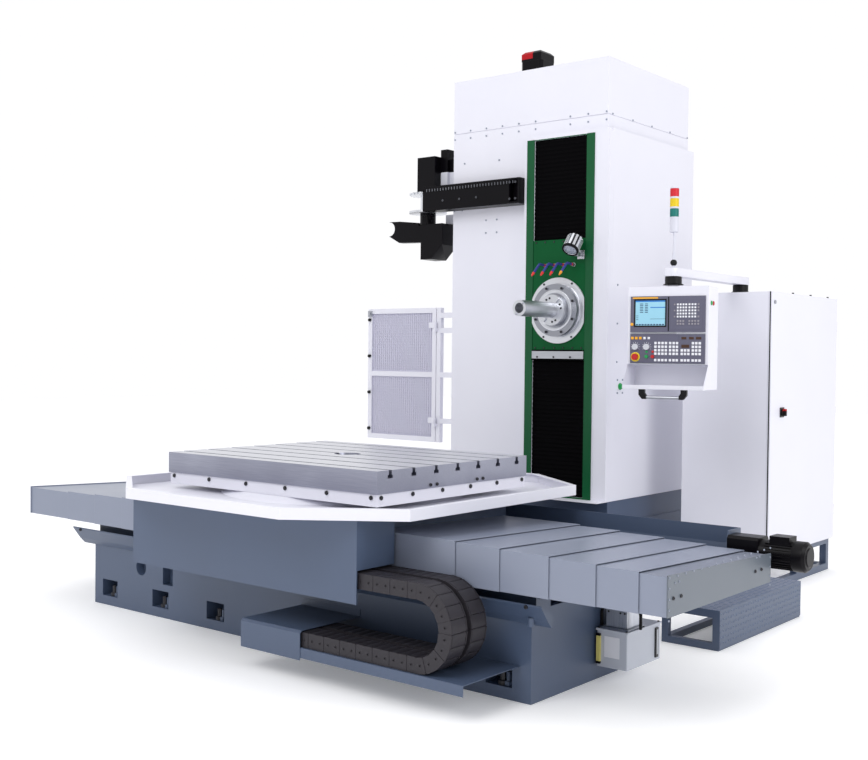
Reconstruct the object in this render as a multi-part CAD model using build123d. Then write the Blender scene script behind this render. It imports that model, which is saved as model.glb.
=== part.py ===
from build123d import *
from math import cos, hypot, pi, radians, sin
import os

# Horizontal boring mill with a travelling table and a travelling column, in a T layout.
# Millimetres. +X runs along the front bed, +Y from the front bed to the column, +Z up.
# The origin is on the floor, where the spindle's upright plane crosses the front bed's centre line.

# Clearances
SLIDE_GAP = 0.3          # between faces that slide on each other
TURN_GAP = 0.4           # radial gap between turning and fixed pieces
SHEET = 3.0              # folded sheet metal
NUDGE = 1.0              # how far a cutter passes the face that it cuts

# Front bed
BED_X = (-1771.0, 1578.0)
BED_HALF_WIDTH = 394.0
BED_TOP = 430.0
WAY_TOP = 580.0
WAY_Y = (240.0, 360.0)
POCKET_FIRST_X = -1690.0
POCKET_PITCH = 501.5
POCKET_COUNT = 7
POCKET_WIDTH = 153.0
POCKET_Z = (57.0, 160.0)
POCKET_DEPTH = 120.0
BOLT_ACROSS = 36.0
BOLT_RADIUS = 11.0
BOLT_NUT = 20.0
BOLT_HEIGHT = 62.0
CORE_HOLE_X = -1300.0
CORE_HOLE_Z = 277.0
CORE_HOLE_RADIUS = 48.0
CORE_SLOT_X = (-1089.0, -996.0)
CORE_SLOT_Z = (201.0, 303.0)
CORE_DEPTH = 55.0

# Coolant gutter along the front bed
GUTTER_X = (-1880.0, 1690.0)
GUTTER_LIP_Y = -484.0
GUTTER_LOW_Y = -432.0
GUTTER_LOW_Z = 405.0
GUTTER_LIP_Z = 482.0
DRAIN_X = 1600.0
DRAIN_RADIUS = 16.0
DRAIN_DROP = 34.0

# Chip auger behind the front bed
AUGER_Y = 640.0
AUGER_Z = 560.0
AUGER_RADIUS = 62.0
AUGER_SHAFT_RADIUS = 20.0
AUGER_PITCH = 420.0
FLIGHT_THICKNESS = 8.0
TROUGH_RADIUS = 82.0
TROUGH_X = (-2000.0, 2066.0)
TROUGH_FRONT_Z = 526.0
TROUGH_FOLD = (732.0, 657.0)
TROUGH_TOP = 741.0
TROUGH_END = 8.0
GEAR_HEAD_LENGTH = 160.0
GEAR_HEAD_Y = (575.0, 705.0)
GEAR_HEAD_Z = (505.0, 722.0)
GEAR_MOTOR_Z = 646.0
GEAR_MOTOR_RADIUS = 66.0
GEAR_MOTOR_LENGTH = 215.0

# Telescopic way covers, counted from the saddle outwards
COVER_FRONT_Y = -511.0
COVER_BACK_Y = 512.0
COVER_FRONT_TOP = 699.0
COVER_BACK_TOP = 661.0
COVER_BOTTOM = 530.0
COVER_STEP = 7.0
RIGHT_ENDS = (1247.0, 1495.0, 1755.0, 1989.0, 2191.0, 2320.0)
RIGHT_LENGTHS = (497.0, 475.0, 495.0, 450.0, 390.0, 262.0)
LEFT_ENDS = (-1060.0, -1310.0, -1596.0, -1891.0, -2309.0)
LEFT_LENGTHS = (408.0, 445.0, 500.0, 512.0, 640.0)
COVER_BAR_HALF = 30.0
COVER_BAR_HEIGHT = 42.0

# Saddle and its covers
SADDLE_X = (-652.0, 750.0)
TABLE_CENTRE_X = 48.0
SADDLE_HALF_WIDTH = 556.0
TRAY_FLOOR = 827.0
SADDLE_COVER_X = (-793.0, 890.0)
SADDLE_COVER_FRONT = -826.0
SADDLE_COVER_LOW = 430.0
SADDLE_COVER_SIDE_LOW = 588.0

# Chip tray round the table, an octagon
TRAY_HALF_X = 1067.0
TRAY_HALF_Y = 1075.0
TRAY_FRONT_HALF = 577.0
TRAY_SIDE_HALF = 711.0
TRAY_RIM_TOP = 883.0
TRAY_RIM_FLANGE = 28.0
ROUND_BASE_RADIUS = 640.0
ROUND_BASE_FLARE = 700.0
ROUND_BASE_TOP = 858.0

# Rotary table
TABLE_HALF_X = 788.0
TABLE_HALF_Y = 630.0
TABLE_Z = (920.0, 1034.0)
SLOT_COUNT = 7
SLOT_PITCH = 178.0
SLOT_NECK = 22.0
SLOT_HEAD = 37.0
SLOT_NECK_DEPTH = 24.0
SLOT_HEAD_DEPTH = 17.0
TABLE_BORE_RADIUS = 75.0
TABLE_BORE_DEPTH = 40.0
SKIRT_INSET = 8.0
SKIRT_HALF_DROP = 62.0
SKIRT_BOLTS = 6
SKIRT_BOLT_ACROSS = 20.0
SKIRT_BOLT_HEAD = 7.0
PIVOT_RADIUS = 300.0

# Drag chain in front of the bed
CHAIN_Y = ((-812.0, -696.0), (-668.0, -552.0))
CHAIN_HEIGHT = 74.0
CHAIN_RISE = 333.0
CHAIN_FIXED_X = 300.0
CHAIN_CLAMP_X = 300.0
CHAIN_BEND_X = 1236.0
CHAIN_PITCH = 52.0
CHAIN_BEND_LINKS = 10
LINK_GAP = 0.3
LINK_WAIST = 6.0
LINK_CORNER = 10.0
LINK_INNER_CUT = 4.6
TRAY_PLATE_TOP = 168.0
TRAY_LIP_LOW = 118.0
CHAIN_TRAY_X = (95.0, 1515.0)
CHAIN_TRAY_FRONT = -824.0
END_COVER_X = (95.0, 520.0)
END_COVER_TOP = 250.0
END_COVER_LOW = 107.0
END_COVER_UPSTAND = 286.0

# Rear bed, column base and column
REAR_BED_HALF_WIDTH = 430.0
REAR_BED_END = 3640.0
REAR_WAY_TOP = 420.0
REAR_WAY_X = (280.0, 390.0)
REAR_BED_CENTRE_Z = 300.0
COLUMN_Y = (2293.0, 3499.0)
COLUMN_LEFT = -1013.0
COLUMN_RIGHT = 400.0
CAP_RIGHT = 350.0
COLUMN_BOTTOM = 583.0
CAP_SEAM = 3290.0
CAP_BOTTOM = 3186.0
COLUMN_TOP = 3690.0
SEAM_DEPTH = 6.0
SEAM_HALF = 2.5
RECESS_HALF = 221.0
RECESS_BACK = 3380.0
RECESS_Z = (600.0, 3150.0)
SURROUND_FRONT = 2233.0
SURROUND_LEFT = -308.0
SURROUND_CORNER = 26.0
SILL_FRONT = 2120.0
COLUMN_BASE_X = (-420.0, 384.0)
STRIP_OUTER = 283.0
STRIP_THICKNESS = 8.0
COLUMN_RAIL_HALF = 24.0
COLUMN_RAIL_DEPTH = 20.0
COLUMN_RAIL_Y = 2640.0

# Headstock and spindles
SPINDLE_Z = 1922.0
HEAD_Z = (1639.0, 2428.0)
HEAD_HALF = 219.0
HEAD_FRONT = 2228.0
HEAD_BACK = 2960.0
HEAD_PLATE = 26.0
HEAD_BODY_HALF = 198.0
HEAD_BODY_Z = (1660.0, 2300.0)
WIPER_LOW = 1568.0
WIPER_FRONT = 2222.0
FLANGE_RADIUS = 235.0
FLANGE_FRONT = 2218.0
FLANGE_RING_RADIUS = 186.0
FLANGE_RING_FRONT = 2174.0
FLANGE_BOLTS = 8
FLANGE_BOLT_CIRCLE = 166.0
FLANGE_BOLT_RADIUS = 10.0
FLANGE_BOLT_HEAD = 6.0
SLEEVE_RADIUS = 92.0
NOSE_RADIUS = 108.0
NOSE_FRONT = 2132.0
QUILL_RADIUS = 55.0
QUILL_TIP = 1740.0
QUILL_BACK = 2850.0
TAPER_RADIUS = 35.0
TAPER_SMALL = 20.0
TAPER_DEPTH = 100.0
DRAWBAR_RADIUS = 12.0
KEY_WIDTH = 16.0
KEY_HEIGHT = 12.0
KEY_TURN = 53.0
APRON_THICKNESS = 3.0
APRON_FRONT = 2240.0
APRON_FOLD = 36.0
APRON_RIB = 3.0
HOSE_X = (-102.0, -26.0, 50.0, 128.0)
HOSE_Z = 2244.0
HOSE_RADIUS = 9.0
HOSE_REACH = 172.0
HOSE_DROP = 64.0
NOZZLE_LENGTH = 34.0
LIGHT_CENTRE = (176.0, 2134.0, 2382.0)
LIGHT_RADIUS = 60.0
LIGHT_LENGTH = 120.0
LIGHT_FINS = 12
LIGHT_TILT = 38.0
LIGHT_BASE = 14.0

# Head drive motor on the column
HEAD_MOTOR_X = -372.0
HEAD_MOTOR_Y = 2480.0
HEAD_MOTOR_SIZE = 190.0
HEAD_MOTOR_BODY = 92.0
HEAD_MOTOR_CAP = 74.0

# Tool magazine and changer on the column's left
BEAM_X = (-1219.0, -312.0)
BEAM_Y = (2170.0, 2293.0)
BEAM_Z = (2705.0, 2892.0)
BEAM_END = 90.0
BEAM_WALL = 14.0
TOOTH_PITCH = 27.0
TOOTH_COUNT = 30
SPROCKET_X = -1288.0
SPROCKET_Y = 2322.0
SPROCKET_RADIUS = 148.0
SPROCKET_PLATE = 16.0
SPROCKET_TEETH = 24
SPROCKET_UPPER_Z = 2846.0
SPROCKET_LOWER_Z = 2706.0
SPROCKET_HUB = 60.0
CHANGER_SHAFT = 20.0
CHANGER_MOTOR_X = (-1345.0, -1170.0)
CHANGER_MOTOR_Y = (2255.0, 2420.0)
CHANGER_MOTOR_TOP = 3140.0
CHANGER_BOX_X = (-1318.0, -1104.0)
CHANGER_BOX_Y = (2270.0, 2460.0)
CHANGER_BOX_Z = (2345.0, 2618.0)
CHANGER_BOX_CHAMFER = 108.0
NECK_RADIUS = 62.0
GRIPPER_Y = (2292.0, 2352.0)
GRIPPER_OUTLINE = ((-1320.0, 2482.0), (-1560.0, 2490.0), (-1665.0, 2546.0), (-1665.0, 2662.0),
                   (-1555.0, 2660.0), (-1362.0, 2638.0), (-1362.0, 2612.0), (-1320.0, 2612.0))
FORK_CENTRE = (-1664.0, 2604.0)
FORK_RADIUS = 56.0
TANG_LENGTH = 190.0
TANG_INSET = 9.0
TANG_LOW = 2490.0
SHAFT_DEPTH = 30.0
SHAFT_COLLAR = 10.0
TANG_ROOF = 14.0

# Service gate on the column's left
GATE_Y = 2406.0
GATE_TUBE = 40.0
GATE_X = (-1968.0, -1246.0)
GATE_Z = (905.0, 1970.0)
GATE_MID = 1440.0
GATE_FRAME_X = (-1240.0, -1013.0)
GATE_RAILS = (1075.0, 1440.0, 1790.0, 1910.0)
GATE_PANEL = 4.0
GATE_PIN_RADIUS = 9.0
GATE_PIN_OUT = 18.0

# Electrical cabinet
CABINET_X = (708.0, 1336.0)
CABINET_Y = (2771.0, 3986.0)
CABINET_Z = (245.0, 2050.0)
CABINET_WALL = 4.0
CABINET_RETURN = 40.0
DOOR_THICKNESS = 22.0
DOOR_GAP = 4.0
PLINTH_HEIGHT = 45.0
BASE_TUBE = 50.0
HINGE_RADIUS = 8.0
HINGE_LENGTH = 90.0
SWITCH_Y = 2963.0
SWITCH_Z = 1225.0
SWITCH_PLATE = 68.0
SWITCH_RADIUS = 26.0

# Operator's step
STEP_X = (1455.0, 1805.0)
STEP_Y = (1086.0, 2226.0)
STEP_TOP = 221.0
STEP_TUBE = 38.0
STEP_PLATE = 5.0

# Lubrication unit on the bed's right end
TANK_X = (1590.0, 1760.0)
TANK_Y = (160.0, 496.0)
TANK_Z = (73.0, 252.0)
PUMP_RADIUS = 34.0
PUMP_TOP = 372.0

# Pendant on its swing arm
ARM_PIVOT = (1070.0, 2906.0)
ARM_REACH = 1000.0
ARM_Z = (2108.0, 2160.0)
ARM_HALF = 46.0
PIVOT_POST_RADIUS = 40.0
PENDANT_WIDTH = 520.0
PENDANT_DEPTH = 210.0
PENDANT_Z = (1395.0, 2040.0)
PENDANT_YAW = 10.0
PANEL_Z = (1556.0, 1980.0)
PANEL_WIDTH = 486.0
PANEL_THICKNESS = 4.0
SHELF_DEPTH = 95.0
SHELF_Z = (1395.0, 1552.0)
SHELF_LIP = 26.0
SCREEN_X = (-212.0, -12.0)
SCREEN_Z = (1792.0, 1956.0)
ESTOP_X = -206.0
ESTOP_Z = 1597.0
ESTOP_RADIUS = 20.0
KNOB_X = (-206.0, -132.0)
KNOB_Z = 1661.0
KNOB_RADIUS = 19.0
BUTTON_X = (-132.0, -92.0)
BUTTON_Z = 1600.0
BUTTON_RADIUS = 11.0
BUTTON_TRAVEL = 3.0
TOWER_RADIUS = 28.0
TOWER_LENS = 58.0
TOWER_BASE = 88.0
TOWER_POLE = 150.0
TOWER_POLE_RADIUS = 9.0

FLOOR_MIN = (Align.MIN, Align.MIN, Align.MIN)
STAND = (Align.CENTER, Align.CENTER, Align.MIN)
PARTS = {}


def block(xs, ys, zs):
    """A rectangular solid between two values on each axis."""
    size = [high - low for low, high in (xs, ys, zs)]
    return Pos(xs[0], ys[0], zs[0]) * Box(*size, align=FLOOR_MIN)


def rod(radius, start, end):
    """A round bar from one point to another."""
    run = Vector(*end) - Vector(*start)
    return Plane(origin=start, z_dir=run) * Cylinder(radius, run.length, align=STAND)


def cone(radius_start, radius_end, start, end):
    """A tapered round bar from one point to another."""
    run = Vector(*end) - Vector(*start)
    return Plane(origin=start, z_dir=run) * Cone(radius_start, radius_end, run.length, align=STAND)


def hexagon(across, start, end):
    """A bolt head or nut between two points."""
    run = Vector(*end) - Vector(*start)
    face = Plane(origin=start, z_dir=run) * RegularPolygon(across / 2, 6, major_radius=False)
    return extrude(face, amount=run.length, dir=run)


def along_x(points, xs):
    """A (Y, Z) outline carried along X."""
    face = Plane.YZ.offset(xs[0]) * Polygon(*points)
    return extrude(face, amount=xs[1] - xs[0], dir=(1, 0, 0))


def along_y(points, ys):
    """An (X, Z) outline carried along Y."""
    face = Plane.XZ.offset(-ys[0]) * Polygon(*points)
    return extrude(face, amount=ys[1] - ys[0], dir=(0, 1, 0))


def along_z(points, zs):
    """An (X, Y) outline carried upwards."""
    face = Plane.XY.offset(zs[0]) * Polygon(*points)
    return extrude(face, amount=zs[1] - zs[0], dir=(0, 0, 1))


def hollow_block(xs, ys, zs, wall):
    """A closed box of sheet, empty inside."""
    inner = [(low + wall, high - wall) for low, high in (xs, ys, zs)]
    return block(xs, ys, zs) - block(*inner)


def group(pieces):
    """Separate solids kept in one node."""
    return Compound(children=[solid for piece in pieces for solid in piece.solids()])


def front_bed():
    half = BED_HALF_WIDTH
    bed = block(BED_X, (-half, half), (0, BED_TOP))
    for side in (-1, 1):
        way = sorted((side * WAY_Y[0], side * WAY_Y[1]))
        bed += block(BED_X, way, (BED_TOP, WAY_TOP))
    for index in range(POCKET_COUNT):
        start = POCKET_FIRST_X + index * POCKET_PITCH
        for ys in ((-half - NUDGE, -half + POCKET_DEPTH), (half - POCKET_DEPTH, half + NUDGE)):
            bed -= block((start, start + POCKET_WIDTH), ys, POCKET_Z)
    hole_end = -half + CORE_DEPTH
    bed -= rod(CORE_HOLE_RADIUS, (CORE_HOLE_X, -half - NUDGE, CORE_HOLE_Z),
               (CORE_HOLE_X, hole_end, CORE_HOLE_Z))
    bed -= block(CORE_SLOT_X, (-half - NUDGE, hole_end), CORE_SLOT_Z)
    return group([bed] + levelling_bolts())


def levelling_bolts():
    bolts = []
    for index in range(POCKET_COUNT):
        x = POCKET_FIRST_X + index * POCKET_PITCH + 0.72 * POCKET_WIDTH
        for side in (-1, 1):
            y = side * (BED_HALF_WIDTH - BOLT_ACROSS)
            low = POCKET_Z[0]
            nut = hexagon(BOLT_ACROSS, (x, y, low), (x, y, low + BOLT_NUT))
            bolts.append(nut + rod(BOLT_RADIUS, (x, y, low + BOLT_NUT - NUDGE), (x, y, low + BOLT_HEIGHT)))
    return bolts


def coolant_gutter():
    face_y = -BED_HALF_WIDTH
    outer = [(face_y, BED_TOP), (face_y, BED_TOP - 60), (face_y - SHEET, BED_TOP - 60),
             (GUTTER_LOW_Y, GUTTER_LOW_Z), (GUTTER_LIP_Y, GUTTER_LIP_Z - 8), (GUTTER_LIP_Y, GUTTER_LIP_Z),
             (GUTTER_LIP_Y + SHEET, GUTTER_LIP_Z), (GUTTER_LOW_Y + SHEET, GUTTER_LOW_Z + 2 * SHEET),
             (face_y - SHEET, BED_TOP - 40), (face_y - SHEET, BED_TOP)]
    gutter = along_x(outer, GUTTER_X)
    end_face = [(face_y - SHEET, BED_TOP), (face_y - SHEET, BED_TOP - 60), (GUTTER_LOW_Y, GUTTER_LOW_Z),
                (GUTTER_LIP_Y, GUTTER_LIP_Z - 8), (GUTTER_LIP_Y, GUTTER_LIP_Z)]
    for start in (GUTTER_X[0], GUTTER_X[1] - SHEET):
        gutter += along_x(end_face, (start, start + SHEET))
    drain_top = (DRAIN_X, GUTTER_LOW_Y, GUTTER_LOW_Z + 6)
    gutter += rod(DRAIN_RADIUS, drain_top, (DRAIN_X, GUTTER_LOW_Y, GUTTER_LOW_Z - DRAIN_DROP))
    return gutter


def chip_trough():
    wall = SHEET + 1
    inner = TROUGH_RADIUS
    outer = inner + wall

    def arc_points(radius):
        steps = 9
        turns = [pi + index * pi / steps for index in range(steps + 1)]
        return [(AUGER_Y + radius * cos(turn), AUGER_Z + radius * sin(turn)) for turn in turns]

    outline = [point for point in arc_points(outer) if point[1] < TROUGH_FRONT_Z]
    inside = [point for point in arc_points(inner) if point[1] < TROUGH_FRONT_Z]
    back = [TROUGH_FOLD, (TROUGH_FOLD[0], TROUGH_TOP)]
    outline = outline + [(y + wall, z) for y, z in back] + back[::-1] + inside[::-1]
    trough = along_x(outline, TROUGH_X)
    end_outline = arc_points(outer) + [(TROUGH_FOLD[0] + wall, TROUGH_FOLD[1]),
                                       (TROUGH_FOLD[0] + wall, TROUGH_TOP), (AUGER_Y - 40, TROUGH_TOP)]
    for start in (TROUGH_X[0] - TROUGH_END, TROUGH_X[1]):
        plate = along_x(end_outline, (start, start + TROUGH_END))
        hole = rod(AUGER_SHAFT_RADIUS + TURN_GAP, (start - NUDGE, AUGER_Y, AUGER_Z),
                   (start + TROUGH_END + NUDGE, AUGER_Y, AUGER_Z))
        trough += plate - hole
    gusset = [(BED_HALF_WIDTH, 340), (BED_HALF_WIDTH, BED_TOP), (AUGER_Y - 40, AUGER_Z - inner - NUDGE),
              (AUGER_Y + 10, AUGER_Z - outer + NUDGE)]
    for x in (-1500, -500, 500, 1450):
        trough += along_x(gusset, (x, x + 10))
    return trough


def chip_auger():
    start, end = TROUGH_X[0] - TROUGH_END, TROUGH_X[1] + TROUGH_END
    shaft = rod(AUGER_SHAFT_RADIUS, (start, AUGER_Y, AUGER_Z), (end, AUGER_Y, AUGER_Z))
    turns = int((TROUGH_X[1] - TROUGH_X[0] - 60) / AUGER_PITCH)
    length = turns * AUGER_PITCH
    path = Helix(AUGER_PITCH, length, AUGER_SHAFT_RADIUS - 4)
    section = Plane(origin=path @ 0, x_dir=(1, 0, 0), z_dir=(0, 1, 0))
    width = AUGER_RADIUS - AUGER_SHAFT_RADIUS + 4
    blade = section * Rectangle(width, FLIGHT_THICKNESS, align=(Align.MIN, Align.CENTER))
    flight = sweep(blade, path=path, is_frenet=True)
    flight = Pos(start + 38, AUGER_Y, AUGER_Z) * Rot(0, 90, 0) * flight
    return shaft + flight


def auger_gearmotor():
    start = TROUGH_X[1] + TROUGH_END
    end = start + GEAR_HEAD_LENGTH
    gear_head = block((start, end), GEAR_HEAD_Y, GEAR_HEAD_Z)
    gear_head = chamfer(gear_head.edges().filter_by(Axis.X), 14)
    bore_end = start + 30
    gear_head -= rod(AUGER_SHAFT_RADIUS + TURN_GAP, (start - NUDGE, AUGER_Y, AUGER_Z),
                     (bore_end, AUGER_Y, AUGER_Z))
    tail = end + GEAR_MOTOR_LENGTH
    motor = rod(GEAR_MOTOR_RADIUS, (end, AUGER_Y, GEAR_MOTOR_Z), (tail, AUGER_Y, GEAR_MOTOR_Z))
    motor += cone(GEAR_MOTOR_RADIUS, GEAR_MOTOR_RADIUS - 22, (tail, AUGER_Y, GEAR_MOTOR_Z),
                  (tail + 22, AUGER_Y, GEAR_MOTOR_Z))
    terminal = block((end + 50, end + 150), (AUGER_Y - 45, AUGER_Y + 45), (GEAR_MOTOR_Z, GEAR_MOTOR_Z + 92))
    return gear_head + motor + terminal


def cover_outline(grow, bottom):
    """The way cover's section, sloping down to the back where the chips fall."""
    return [(COVER_FRONT_Y - grow, bottom), (COVER_FRONT_Y - grow, COVER_FRONT_TOP + grow),
            (COVER_BACK_Y + grow, COVER_BACK_TOP + grow), (COVER_BACK_Y + grow, bottom)]


def way_cover(end, length, rank, count, side):
    """One telescopic segment. Its bulkhead rides on the ways at the inner end."""
    grow = (count - rank) * COVER_STEP
    inner_end = end - side * length
    span = sorted((end, inner_end))
    shell = along_x(cover_outline(grow, COVER_BOTTOM), span)
    shell -= along_x(cover_outline(grow - SHEET, COVER_BOTTOM - NUDGE), (span[0] - NUDGE, span[1] + NUDGE))
    way_clear = WAY_TOP + SLIDE_GAP
    if rank > 1:
        bulkhead = sorted((inner_end, inner_end + side * 2 * SHEET))
        shell += along_x(cover_outline(grow - SHEET / 2, way_clear), bulkhead)
    if rank == count:
        plate = sorted((end, end + side * 2 * SHEET))
        shell += along_x(cover_outline(grow + COVER_STEP, COVER_BOTTOM), plate)
    return shell


def cover_rails():
    """Bars bolted to the bed's ends that carry the covers beyond the bed."""
    bars = []
    middle = (WAY_Y[0] + WAY_Y[1]) / 2
    bar_z = (WAY_TOP - COVER_BAR_HEIGHT, WAY_TOP)
    for bed_end, cover_end, side in ((BED_X[0], LEFT_ENDS[-1], -1), (BED_X[1], RIGHT_ENDS[-1], 1)):
        far = cover_end - side * SLIDE_GAP
        frame = block(sorted((bed_end, bed_end + side * 12)), (-middle - 40, middle + 40),
                      (bar_z[0] - 60, bar_z[0] + 10))
        for y in (-middle, middle):
            frame += block(sorted((bed_end, far)), (y - COVER_BAR_HALF, y + COVER_BAR_HALF), bar_z)
        frame += block(sorted((far - side * 10, far)), (-middle - NUDGE, middle + NUDGE),
                       (bar_z[0], bar_z[1] - 8))
        bars.append(frame)
    return group(bars)


def saddle():
    pad_low = WAY_TOP + SLIDE_GAP
    body = block(SADDLE_X, (-SADDLE_HALF_WIDTH, SADDLE_HALF_WIDTH), (pad_low, TRAY_FLOOR))
    core = (WAY_Y[0] - 40)
    body -= block((SADDLE_X[0] - NUDGE, SADDLE_X[1] + NUDGE), (-core, core),
                  (pad_low - NUDGE, pad_low + 90))
    clamp_y = (CHAIN_Y[0][0], -SADDLE_HALF_WIDTH)
    clamp_x = (CHAIN_CLAMP_X - 60, CHAIN_CLAMP_X)
    chain_low = chain_centres()[1] - CHAIN_HEIGHT / 2
    body += block(clamp_x, (clamp_y[0], clamp_y[1] + NUDGE),
                  (chain_low + CHAIN_HEIGHT + 30, chain_low + CHAIN_HEIGHT + 45))
    body += block((clamp_x[1] - 12, clamp_x[1]), clamp_y, (chain_low, chain_low + CHAIN_HEIGHT + 31))
    centre = (TABLE_CENTRE_X, 0)
    base = cone(ROUND_BASE_FLARE, ROUND_BASE_RADIUS, (*centre, TRAY_FLOOR + SHEET),
                (*centre, ROUND_BASE_TOP))
    neck = rod(ROUND_BASE_RADIUS - 120, (*centre, TRAY_FLOOR - NUDGE),
               (*centre, TRAY_FLOOR + SHEET + NUDGE))
    pivot = rod(PIVOT_RADIUS, (*centre, ROUND_BASE_TOP - NUDGE), (*centre, TABLE_Z[0] - 20))
    return body + base + neck + pivot


def saddle_front_cover():
    left, right = SADDLE_COVER_X
    front = SADDLE_COVER_FRONT
    back = -SADDLE_HALF_WIDTH - 6
    cover = block(SADDLE_COVER_X, (front - SHEET, front), (SADDLE_COVER_LOW, TRAY_FLOOR - SHEET))
    for start in (left, right - SHEET):
        cover += block((start, start + SHEET), (front - NUDGE, back),
                       (SADDLE_COVER_SIDE_LOW, TRAY_FLOOR - SHEET))
    for start in (left, right - 20):
        cover += block((start, start + 20), (front - NUDGE, front + SHEET),
                       (SADDLE_COVER_LOW, SADDLE_COVER_SIDE_LOW))
    cover += block((SADDLE_X[0], SADDLE_X[1]), (front - NUDGE, -SADDLE_HALF_WIDTH),
                   (TRAY_FLOOR - 2 * SHEET, TRAY_FLOOR - SHEET))
    return cover


def octagon(grow):
    """The chip tray's plan."""
    long_x, long_y = TRAY_HALF_X + grow, TRAY_HALF_Y + grow
    slope = hypot(TRAY_HALF_X - TRAY_FRONT_HALF, TRAY_HALF_Y - TRAY_SIDE_HALF)
    short_x = TRAY_FRONT_HALF + grow * (TRAY_HALF_X - TRAY_FRONT_HALF) / slope
    short_y = TRAY_SIDE_HALF + grow * (TRAY_HALF_Y - TRAY_SIDE_HALF) / slope
    corners = [(short_x, -long_y), (long_x, -short_y), (long_x, short_y), (short_x, long_y),
               (-short_x, long_y), (-long_x, short_y), (-long_x, -short_y), (-short_x, -long_y)]
    return [(x + TABLE_CENTRE_X, y) for x, y in corners]


def chip_tray():
    floor_z = (TRAY_FLOOR, TRAY_FLOOR + SHEET)
    tray = along_z(octagon(0), (TRAY_FLOOR, TRAY_RIM_TOP))
    tray -= along_z(octagon(-SHEET), (floor_z[1], TRAY_RIM_TOP + NUDGE))
    flange_z = (TRAY_RIM_TOP - SHEET, TRAY_RIM_TOP)
    tray += along_z(octagon(-NUDGE), flange_z) - along_z(octagon(-TRAY_RIM_FLANGE), flange_z)
    centre = (TABLE_CENTRE_X, 0)
    tray -= rod(ROUND_BASE_RADIUS - 118, (*centre, TRAY_FLOOR - NUDGE), (*centre, floor_z[1] + NUDGE))
    return tray


def slot_centres():
    first = -(SLOT_COUNT - 1) / 2 * SLOT_PITCH
    return [first + index * SLOT_PITCH for index in range(SLOT_COUNT)]


def table_top():
    x_span = (TABLE_CENTRE_X - TABLE_HALF_X, TABLE_CENTRE_X + TABLE_HALF_X)
    top = TABLE_Z[1]
    table = block(x_span, (-TABLE_HALF_Y, TABLE_HALF_Y), TABLE_Z)
    neck_low = top - SLOT_NECK_DEPTH
    for y in slot_centres():
        outline = [(y - SLOT_NECK / 2, top + NUDGE), (y - SLOT_NECK / 2, neck_low),
                   (y - SLOT_HEAD / 2, neck_low),
                   (y - SLOT_HEAD / 2, neck_low - SLOT_HEAD_DEPTH), (y + SLOT_HEAD / 2,
                                                                     neck_low - SLOT_HEAD_DEPTH),
                   (y + SLOT_HEAD / 2, neck_low), (y + SLOT_NECK / 2, neck_low), (y + SLOT_NECK / 2,
                                                                                  top + NUDGE)]
        table -= along_x(outline, (x_span[0] - NUDGE, x_span[1] + NUDGE))
    centre = (TABLE_CENTRE_X, 0)
    table -= rod(TABLE_BORE_RADIUS, (*centre, top - TABLE_BORE_DEPTH), (*centre, top + NUDGE))
    return table


def table_skirt():
    """The painted underside of the table, with its bolts, turning on the round base."""
    low = TABLE_Z[0] - SKIRT_HALF_DROP + TURN_GAP
    half_x, half_y = TABLE_HALF_X - SKIRT_INSET, TABLE_HALF_Y - SKIRT_INSET
    x_span = (TABLE_CENTRE_X - half_x, TABLE_CENTRE_X + half_x)
    skirt = block(x_span, (-half_y, half_y), (low, TABLE_Z[0]))
    centre = (TABLE_CENTRE_X, 0)
    skirt -= rod(PIVOT_RADIUS + TURN_GAP, (*centre, low - NUDGE), (*centre, TABLE_Z[0] - 20 + TURN_GAP))
    bolt_z = TABLE_Z[0] - 18
    for index in range(SKIRT_BOLTS):
        share = (index + 0.12) / (SKIRT_BOLTS - 0.76)
        x = x_span[0] + share * (x_span[1] - x_span[0])
        y = -half_y + share * 2 * half_y
        for sign in (-1, 1):
            edge = sign * half_y
            skirt += hexagon(SKIRT_BOLT_ACROSS, (x, edge, bolt_z),
                             (x, edge + sign * SKIRT_BOLT_HEAD, bolt_z))
            edge = TABLE_CENTRE_X + sign * half_x
            skirt += hexagon(SKIRT_BOLT_ACROSS, (edge, y, bolt_z),
                             (edge + sign * SKIRT_BOLT_HEAD, y, bolt_z))
    return skirt


def chain_link(y_span, x, z, turn):
    """One closed link. Its inner side, upward here, is shorter so that it fits round the bend."""
    half, waist = CHAIN_HEIGHT / 2, CHAIN_HEIGHT / 2 - LINK_WAIST
    end = (CHAIN_PITCH - LINK_GAP) / 2
    inner = end - LINK_INNER_CUT
    side = [(end - LINK_CORNER, -half), (end, -waist), (end, 1), (inner, waist),
            (inner - LINK_CORNER, half)]
    outline = side + [(-x_side, z_side) for x_side, z_side in side[::-1]]
    link = along_y(outline, y_span)
    return Pos(x, 0, z) * Rot(0, -turn, 0) * link


def straight_run(start, end, z, turn):
    """Both chains' links between two places on a straight stretch."""
    count = round((end - start) / CHAIN_PITCH)
    links = []
    for y_span in CHAIN_Y:
        centres = [start + (index + 0.5) * CHAIN_PITCH for index in range(count)]
        links += [chain_link(y_span, x, z, turn) for x in centres]
    return group(links)


def chain_centres():
    low = TRAY_PLATE_TOP + SLIDE_GAP + CHAIN_HEIGHT / 2
    return low, low + CHAIN_RISE


def chain_bend():
    low, high = chain_centres()
    radius, centre_z = (high - low) / 2, (high + low) / 2
    links = []
    for y_span in CHAIN_Y:
        for index in range(CHAIN_BEND_LINKS):
            turn = -90 + (index + 0.5) * 180 / CHAIN_BEND_LINKS
            x = CHAIN_BEND_X + radius * cos(radians(turn))
            z = centre_z + radius * sin(radians(turn))
            links.append(chain_link(y_span, x, z, turn + 90))
    return group(links)


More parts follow.
